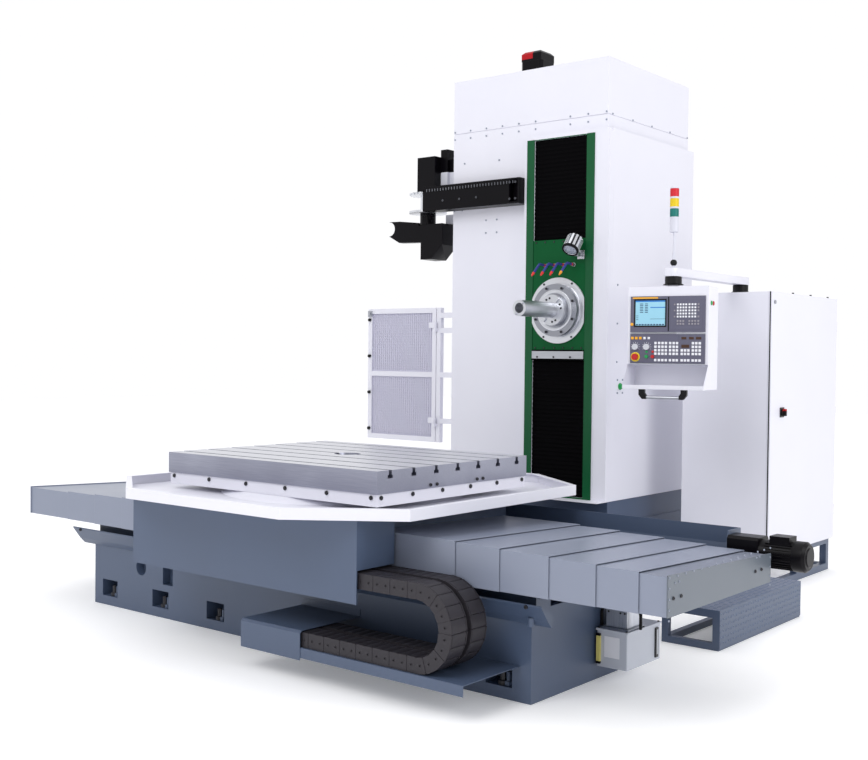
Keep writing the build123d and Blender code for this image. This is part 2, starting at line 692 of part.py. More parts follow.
def chain_tray():
    """The shelf that the chain lies on, with the bent plate over the chain's fixed end."""
    face_y = -BED_HALF_WIDTH
    plate_z = (TRAY_PLATE_TOP - SHEET, TRAY_PLATE_TOP)
    shelf = block(CHAIN_TRAY_X, (CHAIN_TRAY_FRONT, face_y), plate_z)
    shelf += block(CHAIN_TRAY_X, (CHAIN_TRAY_FRONT, CHAIN_TRAY_FRONT + SHEET),
                   (TRAY_LIP_LOW, TRAY_PLATE_TOP))
    gusset = [(face_y, plate_z[0]), (face_y, plate_z[0] - 100), (face_y - 30, plate_z[0] - 100),
              (CHAIN_TRAY_FRONT + 60, plate_z[0] - 12), (CHAIN_TRAY_FRONT + 60, plate_z[0])]
    for x in (180, 720, 1260):
        shelf += along_x(gusset, (x, x + 2 * SHEET))
    front = CHAIN_TRAY_FRONT
    top = END_COVER_TOP
    outline = [(front - SHEET, END_COVER_LOW), (front - SHEET, top - 12), (front + 9, top),
               (face_y - SHEET, top),
               (face_y - SHEET, END_COVER_UPSTAND), (face_y, END_COVER_UPSTAND), (face_y, top - SHEET),
               (front + 10, top - SHEET), (front, top - 13), (front, END_COVER_LOW)]
    return group([shelf, along_x(outline, END_COVER_X)])


def rear_bed():
    half = REAR_BED_HALF_WIDTH
    y_span = (BED_HALF_WIDTH, REAR_BED_END)
    bed = block((-half, half), y_span, (0, REAR_BED_CENTRE_Z))
    for side in (-1, 1):
        way = sorted((side * REAR_WAY_X[0], side * REAR_WAY_X[1]))
        bed += block(way, y_span, (REAR_BED_CENTRE_Z - NUDGE, REAR_WAY_TOP))
    return bed


def column_base():
    low = REAR_WAY_TOP + SLIDE_GAP
    base = block(COLUMN_BASE_X, COLUMN_Y, (low - 90, COLUMN_BOTTOM))
    channel = REAR_WAY_X[1] + 12
    base -= block((-channel, channel), (COLUMN_Y[0] - NUDGE, COLUMN_Y[1] + NUDGE), (low - 91, low))
    keel = REAR_WAY_X[0] - 8
    return base + block((-keel, keel), COLUMN_Y, (low - 80, low + NUDGE))


def recess_cutter():
    """The upright well that the headstock travels in, with a rail on each side wall."""
    well = block((-RECESS_HALF, RECESS_HALF), (SURROUND_FRONT - NUDGE, RECESS_BACK), RECESS_Z)
    rail_y = (COLUMN_RAIL_Y - COLUMN_RAIL_HALF, COLUMN_RAIL_Y + COLUMN_RAIL_HALF)
    for side in (-1, 1):
        rail_x = sorted((side * (RECESS_HALF - COLUMN_RAIL_DEPTH), side * (RECESS_HALF + NUDGE)))
        well -= block(rail_x, rail_y, RECESS_Z)
    return well


def column_housing():
    body = block((COLUMN_LEFT, COLUMN_RIGHT), COLUMN_Y, (COLUMN_BOTTOM, CAP_BOTTOM))
    body += block((COLUMN_LEFT, CAP_RIGHT), COLUMN_Y, (CAP_BOTTOM - NUDGE, COLUMN_TOP))
    ring = block((COLUMN_LEFT - NUDGE, CAP_RIGHT + NUDGE), (COLUMN_Y[0] - NUDGE, COLUMN_Y[1] + NUDGE),
                 (CAP_SEAM - SEAM_HALF, CAP_SEAM + SEAM_HALF))
    core = block((COLUMN_LEFT + SEAM_DEPTH, CAP_RIGHT - SEAM_DEPTH),
                 (COLUMN_Y[0] + SEAM_DEPTH, COLUMN_Y[1] - SEAM_DEPTH), (CAP_SEAM - 10, CAP_SEAM + 10))
    body -= ring - core
    return body - recess_cutter()


def spindle_surround():
    """The raised frame round the headstock's well, with its sill at the foot."""
    y_span = (SURROUND_FRONT, COLUMN_Y[0])
    frame = block((SURROUND_LEFT, COLUMN_RIGHT), y_span, (COLUMN_BOTTOM, CAP_BOTTOM))
    top_edges = frame.edges().filter_by(Axis.Y).group_by(Axis.Z)[-1]
    frame = fillet(top_edges, SURROUND_CORNER)
    frame -= block((-RECESS_HALF, RECESS_HALF), (SURROUND_FRONT - NUDGE, COLUMN_Y[0] + NUDGE), RECESS_Z)
    sill = block((-STRIP_OUTER, COLUMN_RIGHT), (SILL_FRONT, SURROUND_FRONT + NUDGE),
                 (COLUMN_BOTTOM, COLUMN_BOTTOM + 2 * SHEET))
    return group([frame + sill] + guide_strips())


def guide_strips():
    y_span = (SURROUND_FRONT - STRIP_THICKNESS, SURROUND_FRONT)
    z_span = (COLUMN_BOTTOM + 2 * SHEET, RECESS_Z[1] + 6)
    strips = []
    for side in (-1, 1):
        strips.append(block(sorted((side * RECESS_HALF, side * STRIP_OUTER)), y_span, z_span))
    return strips


def apron(z_span):
    """A folded apron that closes the well above or below the headstock."""
    half = RECESS_HALF - 2
    sheet = block((-half, half), (APRON_FRONT, APRON_FRONT + APRON_THICKNESS), z_span)
    count = int((z_span[1] - z_span[0]) / APRON_FOLD) - 1
    for index in range(1, count + 1):
        z = z_span[0] + index * (z_span[1] - z_span[0]) / (count + 1)
        sheet += block((-half, half), (APRON_FRONT - APRON_RIB, APRON_FRONT + NUDGE), (z - 4, z + 4))
    return sheet


def head_drive_motor():
    half = HEAD_MOTOR_SIZE / 2
    x_span = (HEAD_MOTOR_X - half, HEAD_MOTOR_X + half)
    y_span = (HEAD_MOTOR_Y - half, HEAD_MOTOR_Y + half)
    joint_z = COLUMN_TOP + HEAD_MOTOR_BODY
    body = block(x_span, y_span, (COLUMN_TOP, joint_z))
    body = chamfer(body.edges().filter_by(Axis.Z), 24)
    cap = block((x_span[0] + 8, x_span[1] - 8), (y_span[0] + 8, y_span[1] - 8),
                (joint_z, joint_z + HEAD_MOTOR_CAP))
    cap = chamfer(cap.edges().group_by(Axis.Z)[-1], 18)
    return body + cap


def magazine_frame():
    """The beam that carries the tool chain, hollowed round the sprocket, with its lower bracket."""
    beam = block(BEAM_X, BEAM_Y, BEAM_Z)
    end = BEAM_X[1]
    beam -= block((end - BEAM_END, end - BEAM_WALL), (BEAM_Y[0] - NUDGE, BEAM_Y[0] + 60),
                  (BEAM_Z[0] + BEAM_WALL, BEAM_Z[1] - BEAM_WALL))
    for index in range(TOOTH_COUNT):
        x = BEAM_X[0] + 4 + index * TOOTH_PITCH
        beam -= block((x, x + TOOTH_PITCH / 2), (BEAM_Y[0] - NUDGE, BEAM_Y[0] + 5),
                      (BEAM_Z[1] - 44, BEAM_Z[1] - 22))
    centre = (SPROCKET_X, SPROCKET_Y)
    beam -= rod(SPROCKET_RADIUS + 2, (*centre, BEAM_Z[0] - NUDGE), (*centre, BEAM_Z[1] + NUDGE))
    bracket = block((COLUMN_LEFT - 150, COLUMN_LEFT), (CHANGER_BOX_Y[1] - 70, CHANGER_BOX_Y[1] - 10),
                    (CHANGER_BOX_Z[1] + 6, BEAM_Z[0] - 10))
    return group([beam, bracket])


def magazine_sprocket():
    centre = (SPROCKET_X, SPROCKET_Y)
    upper_z = (SPROCKET_UPPER_Z, SPROCKET_UPPER_Z + SPROCKET_PLATE)
    wheel = rod(SPROCKET_RADIUS - 12, (*centre, upper_z[0]), (*centre, upper_z[1]))
    for index in range(SPROCKET_TEETH):
        tooth = block((SPROCKET_RADIUS - 20, SPROCKET_RADIUS - NUDGE), (-9, 9), upper_z)
        wheel += Pos(*centre, 0) * Rot(0, 0, 360 / SPROCKET_TEETH * index) * tooth
    lower_top = SPROCKET_LOWER_Z + SPROCKET_PLATE
    wheel += rod(SPROCKET_RADIUS, (*centre, SPROCKET_LOWER_Z), (*centre, lower_top))
    wheel += rod(SPROCKET_HUB, (*centre, SPROCKET_LOWER_Z), (*centre, upper_z[1]))
    return wheel - rod(CHANGER_SHAFT + TURN_GAP, (*centre, SPROCKET_LOWER_Z - NUDGE),
                       (*centre, upper_z[1] + NUDGE))


def changer_drive():
    """The motor above the sprocket, its cable box, the fixed shaft and the bracket to the column."""
    motor_low = SPROCKET_UPPER_Z + SPROCKET_PLATE + SLIDE_GAP
    motor = block(CHANGER_MOTOR_X, CHANGER_MOTOR_Y, (motor_low, CHANGER_MOTOR_TOP))
    right, back = CHANGER_MOTOR_X[1], CHANGER_MOTOR_Y[1]
    motor += block((right - NUDGE, right + 66), (back - 90, back), (motor_low + 60, CHANGER_MOTOR_TOP + 56))
    motor += block((right - NUDGE, COLUMN_LEFT), (back - 60, back - 30),
                   (motor_low + 50, CHANGER_MOTOR_TOP - 20))
    centre = (SPROCKET_X, SPROCKET_Y)
    shaft_low = CHANGER_BOX_Z[1] - SHAFT_DEPTH
    motor += rod(CHANGER_SHAFT, (*centre, shaft_low), (*centre, motor_low + NUDGE))
    return motor + rod(CHANGER_SHAFT + 6, (*centre, shaft_low - SHAFT_COLLAR), (*centre, shaft_low))


def tang_top():
    return CHANGER_BOX_Z[1] - SHAFT_DEPTH - SHAFT_COLLAR - TANG_ROOF


def changer_head():
    """The turning box under the sprocket, with its neck and the slot for the gripper's tang."""
    low, high = CHANGER_BOX_Z
    left, right = CHANGER_BOX_X
    cut = CHANGER_BOX_CHAMFER
    outline = [(left, low), (right - cut, low), (right, low + cut), (right, high), (left, high)]
    box = along_y(outline, CHANGER_BOX_Y)
    centre = (SPROCKET_X, SPROCKET_Y)
    box += rod(NECK_RADIUS, (*centre, high - NUDGE), (*centre, SPROCKET_LOWER_Z - SLIDE_GAP))
    shaft_low = high - SHAFT_DEPTH
    box -= rod(CHANGER_SHAFT + TURN_GAP, (*centre, shaft_low - NUDGE), (*centre, SPROCKET_LOWER_Z + NUDGE))
    box -= rod(CHANGER_SHAFT + 6 + TURN_GAP, (*centre, shaft_low - SHAFT_COLLAR - SLIDE_GAP),
               (*centre, shaft_low + SLIDE_GAP))
    tang_y = (GRIPPER_Y[0] + TANG_INSET - SLIDE_GAP, GRIPPER_Y[1] - TANG_INSET + SLIDE_GAP)
    tang_z = (TANG_LOW - SLIDE_GAP, tang_top() + SLIDE_GAP)
    return box - block((left - NUDGE, left + TANG_LENGTH), tang_y, tang_z)


def changer_gripper():
    """The forked tool hand on its flat tang."""
    hand = along_y(GRIPPER_OUTLINE, GRIPPER_Y)
    fork_x, fork_z = FORK_CENTRE
    hand -= rod(FORK_RADIUS, (fork_x, GRIPPER_Y[0] - NUDGE, fork_z), (fork_x, GRIPPER_Y[1] + NUDGE, fork_z))
    return hand + block((GRIPPER_OUTLINE[0][0] - NUDGE, CHANGER_BOX_X[0] + TANG_LENGTH - 2),
                        (GRIPPER_Y[0] + TANG_INSET, GRIPPER_Y[1] - TANG_INSET), (TANG_LOW, tang_top()))


def headstock():
    body = block((-HEAD_BODY_HALF, HEAD_BODY_HALF), (HEAD_FRONT, HEAD_BACK), HEAD_BODY_Z)
    body += block((-HEAD_HALF, HEAD_HALF), (HEAD_FRONT, HEAD_FRONT + HEAD_PLATE), HEAD_Z)
    body += block((-HEAD_HALF, HEAD_HALF), (WIPER_FRONT, HEAD_FRONT + HEAD_PLATE), (WIPER_LOW, HEAD_Z[0]))
    shoe_y = (COLUMN_RAIL_Y - COLUMN_RAIL_HALF - 60, COLUMN_RAIL_Y + COLUMN_RAIL_HALF + 60)
    groove_y = (COLUMN_RAIL_Y - COLUMN_RAIL_HALF - SLIDE_GAP, COLUMN_RAIL_Y + COLUMN_RAIL_HALF + SLIDE_GAP)
    for side in (-1, 1):
        outer = side * (RECESS_HALF - SLIDE_GAP)
        body += block(sorted((side * (HEAD_BODY_HALF - NUDGE), outer)), shoe_y, HEAD_BODY_Z)
        groove_x = sorted((side * (RECESS_HALF - COLUMN_RAIL_DEPTH - SLIDE_GAP), outer + side * NUDGE))
        body -= block(groove_x, groove_y, (HEAD_BODY_Z[0] - NUDGE, HEAD_BODY_Z[1] + NUDGE))
    bore = SLEEVE_RADIUS + TURN_GAP
    return body - rod(bore, (0, WIPER_FRONT - NUDGE, SPINDLE_Z), (0, HEAD_BACK + NUDGE, SPINDLE_Z))


def spindle_flange():
    """The bearing cover: a disc with flat sides between the strips, and a thick raised ring."""
    axis_start = (0, FLANGE_FRONT, SPINDLE_Z)
    disc = rod(FLANGE_RADIUS, axis_start, (0, HEAD_FRONT, SPINDLE_Z))
    disc &= block((-HEAD_HALF, HEAD_HALF), (FLANGE_FRONT, HEAD_FRONT),
                  (SPINDLE_Z - FLANGE_RADIUS, SPINDLE_Z + FLANGE_RADIUS))
    disc += rod(FLANGE_RING_RADIUS, (0, FLANGE_RING_FRONT, SPINDLE_Z), (0, FLANGE_FRONT + NUDGE, SPINDLE_Z))
    for index in range(FLANGE_BOLTS):
        turn = radians(360 / FLANGE_BOLTS * (index + 0.5))
        x = FLANGE_BOLT_CIRCLE * cos(turn)
        z = SPINDLE_Z + FLANGE_BOLT_CIRCLE * sin(turn)
        disc += rod(FLANGE_BOLT_RADIUS, (x, FLANGE_RING_FRONT + NUDGE, z),
                    (x, FLANGE_RING_FRONT - FLANGE_BOLT_HEAD, z))
    bore = SLEEVE_RADIUS + TURN_GAP
    return disc - rod(bore, (0, FLANGE_RING_FRONT - NUDGE, SPINDLE_Z), (0, HEAD_FRONT + NUDGE, SPINDLE_Z))


def drive_key(xs, front):
    """A key across a spindle's face, as the spindle stands in the photograph."""
    key = block(xs, (front - KEY_HEIGHT, front + NUDGE), (-KEY_WIDTH / 2, KEY_WIDTH / 2))
    return Pos(0, 0, SPINDLE_Z) * Rot(0, -KEY_TURN, 0) * key


def milling_spindle():
    sleeve_front = FLANGE_RING_FRONT - SLIDE_GAP
    sleeve = rod(SLEEVE_RADIUS, (0, sleeve_front - NUDGE, SPINDLE_Z), (0, HEAD_BACK, SPINDLE_Z))
    sleeve += rod(NOSE_RADIUS, (0, NOSE_FRONT, SPINDLE_Z), (0, sleeve_front, SPINDLE_Z))
    for side in (-1, 1):
        key_x = sorted((side * (QUILL_RADIUS + 14), side * (NOSE_RADIUS - 8)))
        sleeve += drive_key(key_x, NOSE_FRONT)
    bore = QUILL_RADIUS + TURN_GAP
    return sleeve - rod(bore, (0, NOSE_FRONT - KEY_HEIGHT - NUDGE, SPINDLE_Z),
                        (0, HEAD_BACK + NUDGE, SPINDLE_Z))


def boring_spindle():
    quill = rod(QUILL_RADIUS, (0, QUILL_TIP, SPINDLE_Z), (0, QUILL_BACK, SPINDLE_Z))
    quill -= cone(TAPER_RADIUS, TAPER_SMALL, (0, QUILL_TIP, SPINDLE_Z),
                  (0, QUILL_TIP + TAPER_DEPTH, SPINDLE_Z))
    quill -= rod(DRAWBAR_RADIUS, (0, QUILL_TIP + TAPER_DEPTH - NUDGE, SPINDLE_Z),
                 (0, QUILL_BACK + NUDGE, SPINDLE_Z))
    for side in (-1, 1):
        key_x = sorted((side * (TAPER_RADIUS + 3), side * (QUILL_RADIUS - 2)))
        quill += drive_key(key_x, QUILL_TIP)
    return quill


def coolant_hoses():
    """Four jointed hoses with their nozzles, each from a fitting on the headstock's plate."""
    hoses = []
    for x in HOSE_X:
        root = (x, HEAD_FRONT, HOSE_Z)
        elbow = (x, HEAD_FRONT - HOSE_REACH * 0.55, HOSE_Z + 6)
        tip = (x, HEAD_FRONT - HOSE_REACH, HOSE_Z - HOSE_DROP)
        end = (x, tip[1] - 10, tip[2] - NOZZLE_LENGTH)
        fitting = (x, HEAD_FRONT - 22, HOSE_Z)
        hose = rod(HOSE_RADIUS + 4, root, fitting)
        hose += rod(HOSE_RADIUS, fitting, elbow) + rod(HOSE_RADIUS, elbow, tip)
        hose += Pos(*elbow) * Sphere(HOSE_RADIUS)
        hose += Pos(*tip) * Sphere(HOSE_RADIUS) + cone(HOSE_RADIUS, HOSE_RADIUS / 2, tip, end)
        hoses.append(hose)
    return group(hoses)


def work_light():
    """A lamp with long cooling fins on a bracket, aimed down and out at the spindle's nose."""
    half = LIGHT_LENGTH / 2
    lamp = rod(LIGHT_RADIUS - 12, (0, 0, -half), (0, 0, half))
    lamp += rod(LIGHT_RADIUS, (0, 0, -half), (0, 0, -half + LIGHT_BASE))
    fin_z = (-half + LIGHT_BASE - NUDGE, half - LIGHT_BASE)
    for index in range(LIGHT_FINS):
        fin = block((LIGHT_RADIUS - 14, LIGHT_RADIUS - 1), (-9, 9), fin_z)
        lamp += Rot(0, 0, 360 / LIGHT_FINS * index) * fin
    lamp = Pos(*LIGHT_CENTRE) * Rot(-LIGHT_TILT, 0, 0) * lamp
    x, y, z = LIGHT_CENTRE
    stem = block((x - 4, x + 20), (y - 4, HEAD_FRONT), (z - 84, z - 60))
    foot = block((x - 18, x + 36), (HEAD_FRONT - 6, HEAD_FRONT), (z - 104, z - 40))
    return lamp + stem + foot


def tube_frame(xs, zs, y, tube, rails):
    """An upright frame of square tube in the XZ plane, with level rails between its posts."""
    ys = (y - tube / 2, y + tube / 2)
    frame = block((xs[0], xs[0] + tube), ys, zs) + block((xs[1] - tube, xs[1]), ys, zs)
    for rail in rails:
        frame += block((xs[0] + tube - NUDGE, xs[1] - tube + NUDGE), ys, (rail - tube / 2, rail + tube / 2))
    return frame


def gate_frame():
    half = GATE_TUBE / 2
    xs = (GATE_FRAME_X[0], GATE_FRAME_X[0] + GATE_TUBE)
    ys = (GATE_Y - half, GATE_Y + half)
    frame = block(xs, ys, GATE_Z)
    for rail in GATE_RAILS:
        frame += block((xs[1] - NUDGE, GATE_FRAME_X[1]), ys, (rail - half, rail + half))
    pin_x = (GATE_X[1] + GATE_FRAME_X[0]) / 2
    pin_y = ys[0] - GATE_PIN_OUT
    for z in gate_hinge_levels():
        lug = rod(GATE_PIN_RADIUS + 5, (pin_x, pin_y, z), (pin_x, pin_y, z + 30))
        lug += block((pin_x, xs[0] + 12), (pin_y - 14, ys[0] + NUDGE), (z, z + 30))
        frame += lug + rod(GATE_PIN_RADIUS, (pin_x, pin_y, z), (pin_x, pin_y, z + 74))
    return frame


def gate_hinge_levels():
    return (GATE_Z[0] + 120, GATE_Z[1] - 190)


def gate_leaf():
    half = GATE_TUBE / 2
    rails = (GATE_Z[0] + half, GATE_MID, GATE_Z[1] - half)
    leaf = tube_frame(GATE_X, GATE_Z, GATE_Y, GATE_TUBE, rails)
    inner_x = (GATE_X[0] + GATE_TUBE - NUDGE, GATE_X[1] - GATE_TUBE + NUDGE)
    mid_y = (GATE_Y - GATE_PANEL / 2, GATE_Y + GATE_PANEL / 2)
    leaf += block(inner_x, mid_y, (rails[0], rails[2]))
    pin_x = (GATE_X[1] + GATE_FRAME_X[0]) / 2
    front = GATE_Y - half
    pin_y = front - GATE_PIN_OUT
    for z in gate_hinge_levels():
        low = z + 30 + SLIDE_GAP
        knuckle = rod(GATE_PIN_RADIUS + 6, (pin_x, pin_y, low), (pin_x, pin_y, low + 44))
        strap = block((GATE_X[1] - 60, pin_x), (pin_y + 2, pin_y + 8), (low, low + 44))
        strap += block((GATE_X[1] - 60, GATE_X[1] - 30), (pin_y + 2, front + NUDGE), (low, low + 44))
        hole = rod(GATE_PIN_RADIUS + TURN_GAP, (pin_x, pin_y, z), (pin_x, pin_y, z + 90))
        leaf += (knuckle + strap) - hole
    return leaf


def electrical_cabinet():
    shell = hollow_block(CABINET_X, CABINET_Y, CABINET_Z, CABINET_WALL)
    face = CABINET_X[1]
    edge = CABINET_RETURN
    opening = block((face - CABINET_WALL - NUDGE, face + NUDGE), (CABINET_Y[0] + edge, CABINET_Y[1] - edge),
                    (CABINET_Z[0] + edge, CABINET_Z[1] - edge))
    plate = block((CABINET_X[0] + 30, CABINET_X[0] + 36), (CABINET_Y[0] + 60, CABINET_Y[1] - 60),
                  (CABINET_Z[0] + CABINET_WALL - NUDGE, CABINET_Z[1] - 100))
    pin_y = CABINET_Y[1] + HINGE_RADIUS + DOOR_GAP
    shell = shell - opening + plate
    pin_x = face + DOOR_THICKNESS / 2
    for z in hinge_levels():
        lug = block((face - 30, face), (CABINET_Y[1] - NUDGE, pin_y + 4), (z, z + 14))
        lug += block((face - NUDGE, pin_x), (CABINET_Y[1] + DOOR_GAP / 2, pin_y + 4), (z, z + 14))
        shell += lug + rod(HINGE_RADIUS - 3, (pin_x, pin_y, z), (pin_x, pin_y, z + HINGE_LENGTH))
    return shell


def hinge_levels():
    low, high = CABINET_Z
    return (low + 160, (low + high) / 2, high - 260)


def cabinet_door():
    start = CABINET_X[1] + 1
    end = start + DOOR_THICKNESS
    door = hollow_block((start, end), (CABINET_Y[0], CABINET_Y[1]), CABINET_Z, 3)
    pin_y = CABINET_Y[1] + HINGE_RADIUS + DOOR_GAP
    pin_x = CABINET_X[1] + DOOR_THICKNESS / 2
    for z in hinge_levels():
        low = z + 14 + SLIDE_GAP
        high = z + HINGE_LENGTH
        knuckle = rod(HINGE_RADIUS, (pin_x, pin_y, low), (pin_x, pin_y, high))
        strap = block((pin_x + 2, end), (CABINET_Y[1] - NUDGE, pin_y), (low, high))
        hole = rod(HINGE_RADIUS - 3 + TURN_GAP, (pin_x, pin_y, low - NUDGE), (pin_x, pin_y, high + NUDGE))
        door += (knuckle + strap) - hole
    half = SWITCH_PLATE / 2
    door += block((end - NUDGE, end + 6), (SWITCH_Y - half, SWITCH_Y + half),
                  (SWITCH_Z - half, SWITCH_Z + half))
    lock_y, lock_z = CABINET_Y[0] + 45, CABINET_Z[1] - 70
    door += rod(13, (end - NUDGE, lock_y, lock_z), (end + 8, lock_y, lock_z))
    return door


def main_switch():
    start = CABINET_X[1] + 1 + DOOR_THICKNESS + 6 + SLIDE_GAP
    knob = rod(SWITCH_RADIUS, (start, SWITCH_Y, SWITCH_Z), (start + 12, SWITCH_Y, SWITCH_Z))
    grip = block((start + 11, start + 30), (SWITCH_Y - 7, SWITCH_Y + 7), (SWITCH_Z - 24, SWITCH_Z + 24))
    return knob + grip


def cabinet_base():
    """A channel plinth on a frame of square tube."""
    xs = (CABINET_X[0] + 12, CABINET_X[1] - 6)
    ys = (CABINET_Y[0] + 12, CABINET_Y[1] - 12)
    top = CABINET_Z[0]
    plinth_low = top - PLINTH_HEIGHT
    base = block(xs, ys, (plinth_low, top)) - block((xs[0] + 40, xs[1] - 40), (ys[0] + 40, ys[1] - 40),
                                                    (plinth_low - NUDGE, top + NUDGE))
    tube = BASE_TUBE
    middle = (ys[0] + ys[1] - tube) / 2
    posts_y = (ys[0], middle, ys[1] - tube)
    for x in (xs[0], xs[1] - tube):
        for y in posts_y:
            base += block((x, x + tube), (y, y + tube), (0, plinth_low + NUDGE))
        base += block((x, x + tube), (ys[0] + NUDGE, ys[1] - NUDGE), (0, tube))
    for y in (ys[0], ys[1] - tube):
        base += block((xs[0] + NUDGE, xs[1] - NUDGE), (y, y + tube), (0, tube))
    return base


def step_platform():
    """A step of square tube with tread plate on its top and its outer long side."""
    tube, plate = STEP_TUBE, STEP_PLATE
    xs, ys = STEP_X, STEP_Y
    rim_top = STEP_TOP - plate
    frame = block((xs[0], xs[1] - plate), ys, (0, rim_top))
    inner_x = (xs[0] + tube, xs[1] - plate - tube)
    inner_y = (ys[0] + tube, ys[1] - tube)
    frame -= block(inner_x, inner_y, (-NUDGE, rim_top + NUDGE))
    frame -= block(inner_x, (ys[0] - NUDGE, ys[1] + NUDGE), (tube, rim_top - tube))
    frame -= block((xs[0] - NUDGE, xs[1]), inner_y, (tube, rim_top - tube))
    frame += block(xs, ys, (rim_top, STEP_TOP))
    return frame + block((xs[1] - plate, xs[1]), ys, (10, rim_top + NUDGE))


def lubrication_unit():
    """The oil tank on its bracket at the bed's end, with the pump and its gauge on top."""
    tank = block(TANK_X, TANK_Y, TANK_Z)
    tank = fillet(tank.edges().filter_by(Axis.Z), 6)
    bracket = block((BED_X[1], TANK_X[0] + NUDGE), (TANK_Y[0] + 40, TANK_Y[1] - 40),
                    (TANK_Z[0] + 20, TANK_Z[1] - 20))
    lid = block((TANK_X[0] - 4, TANK_X[1] + 4), (TANK_Y[0] - 4, TANK_Y[1] + 4),
                (TANK_Z[1] - NUDGE, TANK_Z[1] + 8))
    pump_x = (TANK_X[0] + TANK_X[1]) / 2
    pump_y = TANK_Y[0] + 110
    pump = rod(PUMP_RADIUS, (pump_x, pump_y, TANK_Z[1] + 7), (pump_x, pump_y, PUMP_TOP))
    valve = block((pump_x - 34, pump_x + 34), (pump_y + 60, pump_y + 130), (TANK_Z[1] + 7, TANK_Z[1] + 74))
    sight = block((TANK_X[0] + 4, TANK_X[0] + 24), (TANK_Y[0] - 12, TANK_Y[0] + NUDGE),
                  (TANK_Z[0] + 20, TANK_Z[1] - 20))
    gauge = block((TANK_X[1] - NUDGE, TANK_X[1] + 8), (TANK_Y[1] - 62, TANK_Y[1] - 34),
                  (TANK_Z[0] + 16, TANK_Z[1] - 14))
    return tank + bracket + lid + pump + valve + sight + gauge


def swing_arm():
    x, far_y = ARM_PIVOT
    near_y = far_y - ARM_REACH
    arm = block((x - ARM_HALF, x + ARM_HALF), (near_y - 60, far_y + 60), ARM_Z)
    arm = fillet(arm.edges().filter_by(Axis.Z), 30)
    return arm + rod(PIVOT_POST_RADIUS, (x, far_y, CABINET_Z[1] + SLIDE_GAP), (x, far_y, ARM_Z[0] + NUDGE))


def signal_tower():
    x, y = ARM_PIVOT[0], ARM_PIVOT[1] - ARM_REACH
    z = ARM_Z[1]
    tower = rod(TOWER_POLE_RADIUS + 12, (x, y, z), (x, y, z + 18))
    pole_top = z + TOWER_POLE + 76
    tower += rod(TOWER_POLE_RADIUS, (x, y, z + 17), (x, y, pole_top + NUDGE))
    base_top = pole_top + TOWER_BASE
    tower += rod(TOWER_RADIUS, (x, y, pole_top), (x, y, base_top))
    for index in range(3):
        low = base_top + index * (TOWER_LENS + 6)
        tower += rod(TOWER_RADIUS - 4, (x, y, low - NUDGE), (x, y, low + 7))
        tower += rod(TOWER_RADIUS, (x, y, low + 6), (x, y, low + 6 + TOWER_LENS))
    return tower


def pendant_place():
    """The pendant's own frame: its hanging pivot, turned towards the operator."""
    return Pos(ARM_PIVOT[0], ARM_PIVOT[1] - ARM_REACH, 0) * Rot(0, 0, PENDANT_YAW)


def pendant():
    half = PENDANT_WIDTH / 2
    front = -PENDANT_DEPTH / 2
    body = block((-half, half), (front, -front), PENDANT_Z)
    body = fillet(body.edges().filter_by(Axis.Z), 8)
    low, high = SHELF_Z
    lip = front - SHELF_DEPTH
    chin = [(front + NUDGE, low), (lip, low), (lip, low + SHELF_LIP), (front + NUDGE, high)]
    body += along_x(chin, (-half, half))
    panel_half = PANEL_WIDTH / 2
    panel_y = (front - PANEL_THICKNESS, front + NUDGE)
    body += block((-panel_half, panel_half), panel_y, PANEL_Z)
    body -= block(SCREEN_X, (front - PANEL_THICKNESS - NUDGE, front + 3), SCREEN_Z)
    body += rod(PIVOT_POST_RADIUS, (0, 0, PENDANT_Z[1] - NUDGE), (0, 0, ARM_Z[0] - SLIDE_GAP))
    handle_z = PENDANT_Z[0] - 36
    handle_y = front - SHELF_DEPTH + 20
    body += rod(11, (-half + 60, handle_y, handle_z), (half - 60, handle_y, handle_z))
    for x in (-half + 90, half - 90):
        body += rod(8, (x, handle_y, handle_z), (x, handle_y, PENDANT_Z[0] + NUDGE))
    for bore_x, bore_z in control_places():
        body -= rod(5 + TURN_GAP, (bore_x, panel_y[0] - NUDGE, bore_z), (bore_x, front + 22, bore_z))
    return pendant_place() * body


def control_places():
    places = [(x, KNOB_Z) for x in KNOB_X]
    places += [(x, BUTTON_Z) for x in BUTTON_X]
    return places + [(ESTOP_X, ESTOP_Z)]


def control(x, z, radius, height, gap, grip=0):
    """A round control whose stem passes through the panel."""
    face = -PENDANT_DEPTH / 2 - PANEL_THICKNESS
    start = face - gap
    piece = rod(radius, (x, start - height, z), (x, start, z))
    piece += rod(5, (x, start - NUDGE, z), (x, start + 18, z))
    if grip:
        piece += block((x - 2, x + 2), (start - height - 1, start - height + NUDGE), (z, z + radius - 2))
    return pendant_place() * piece


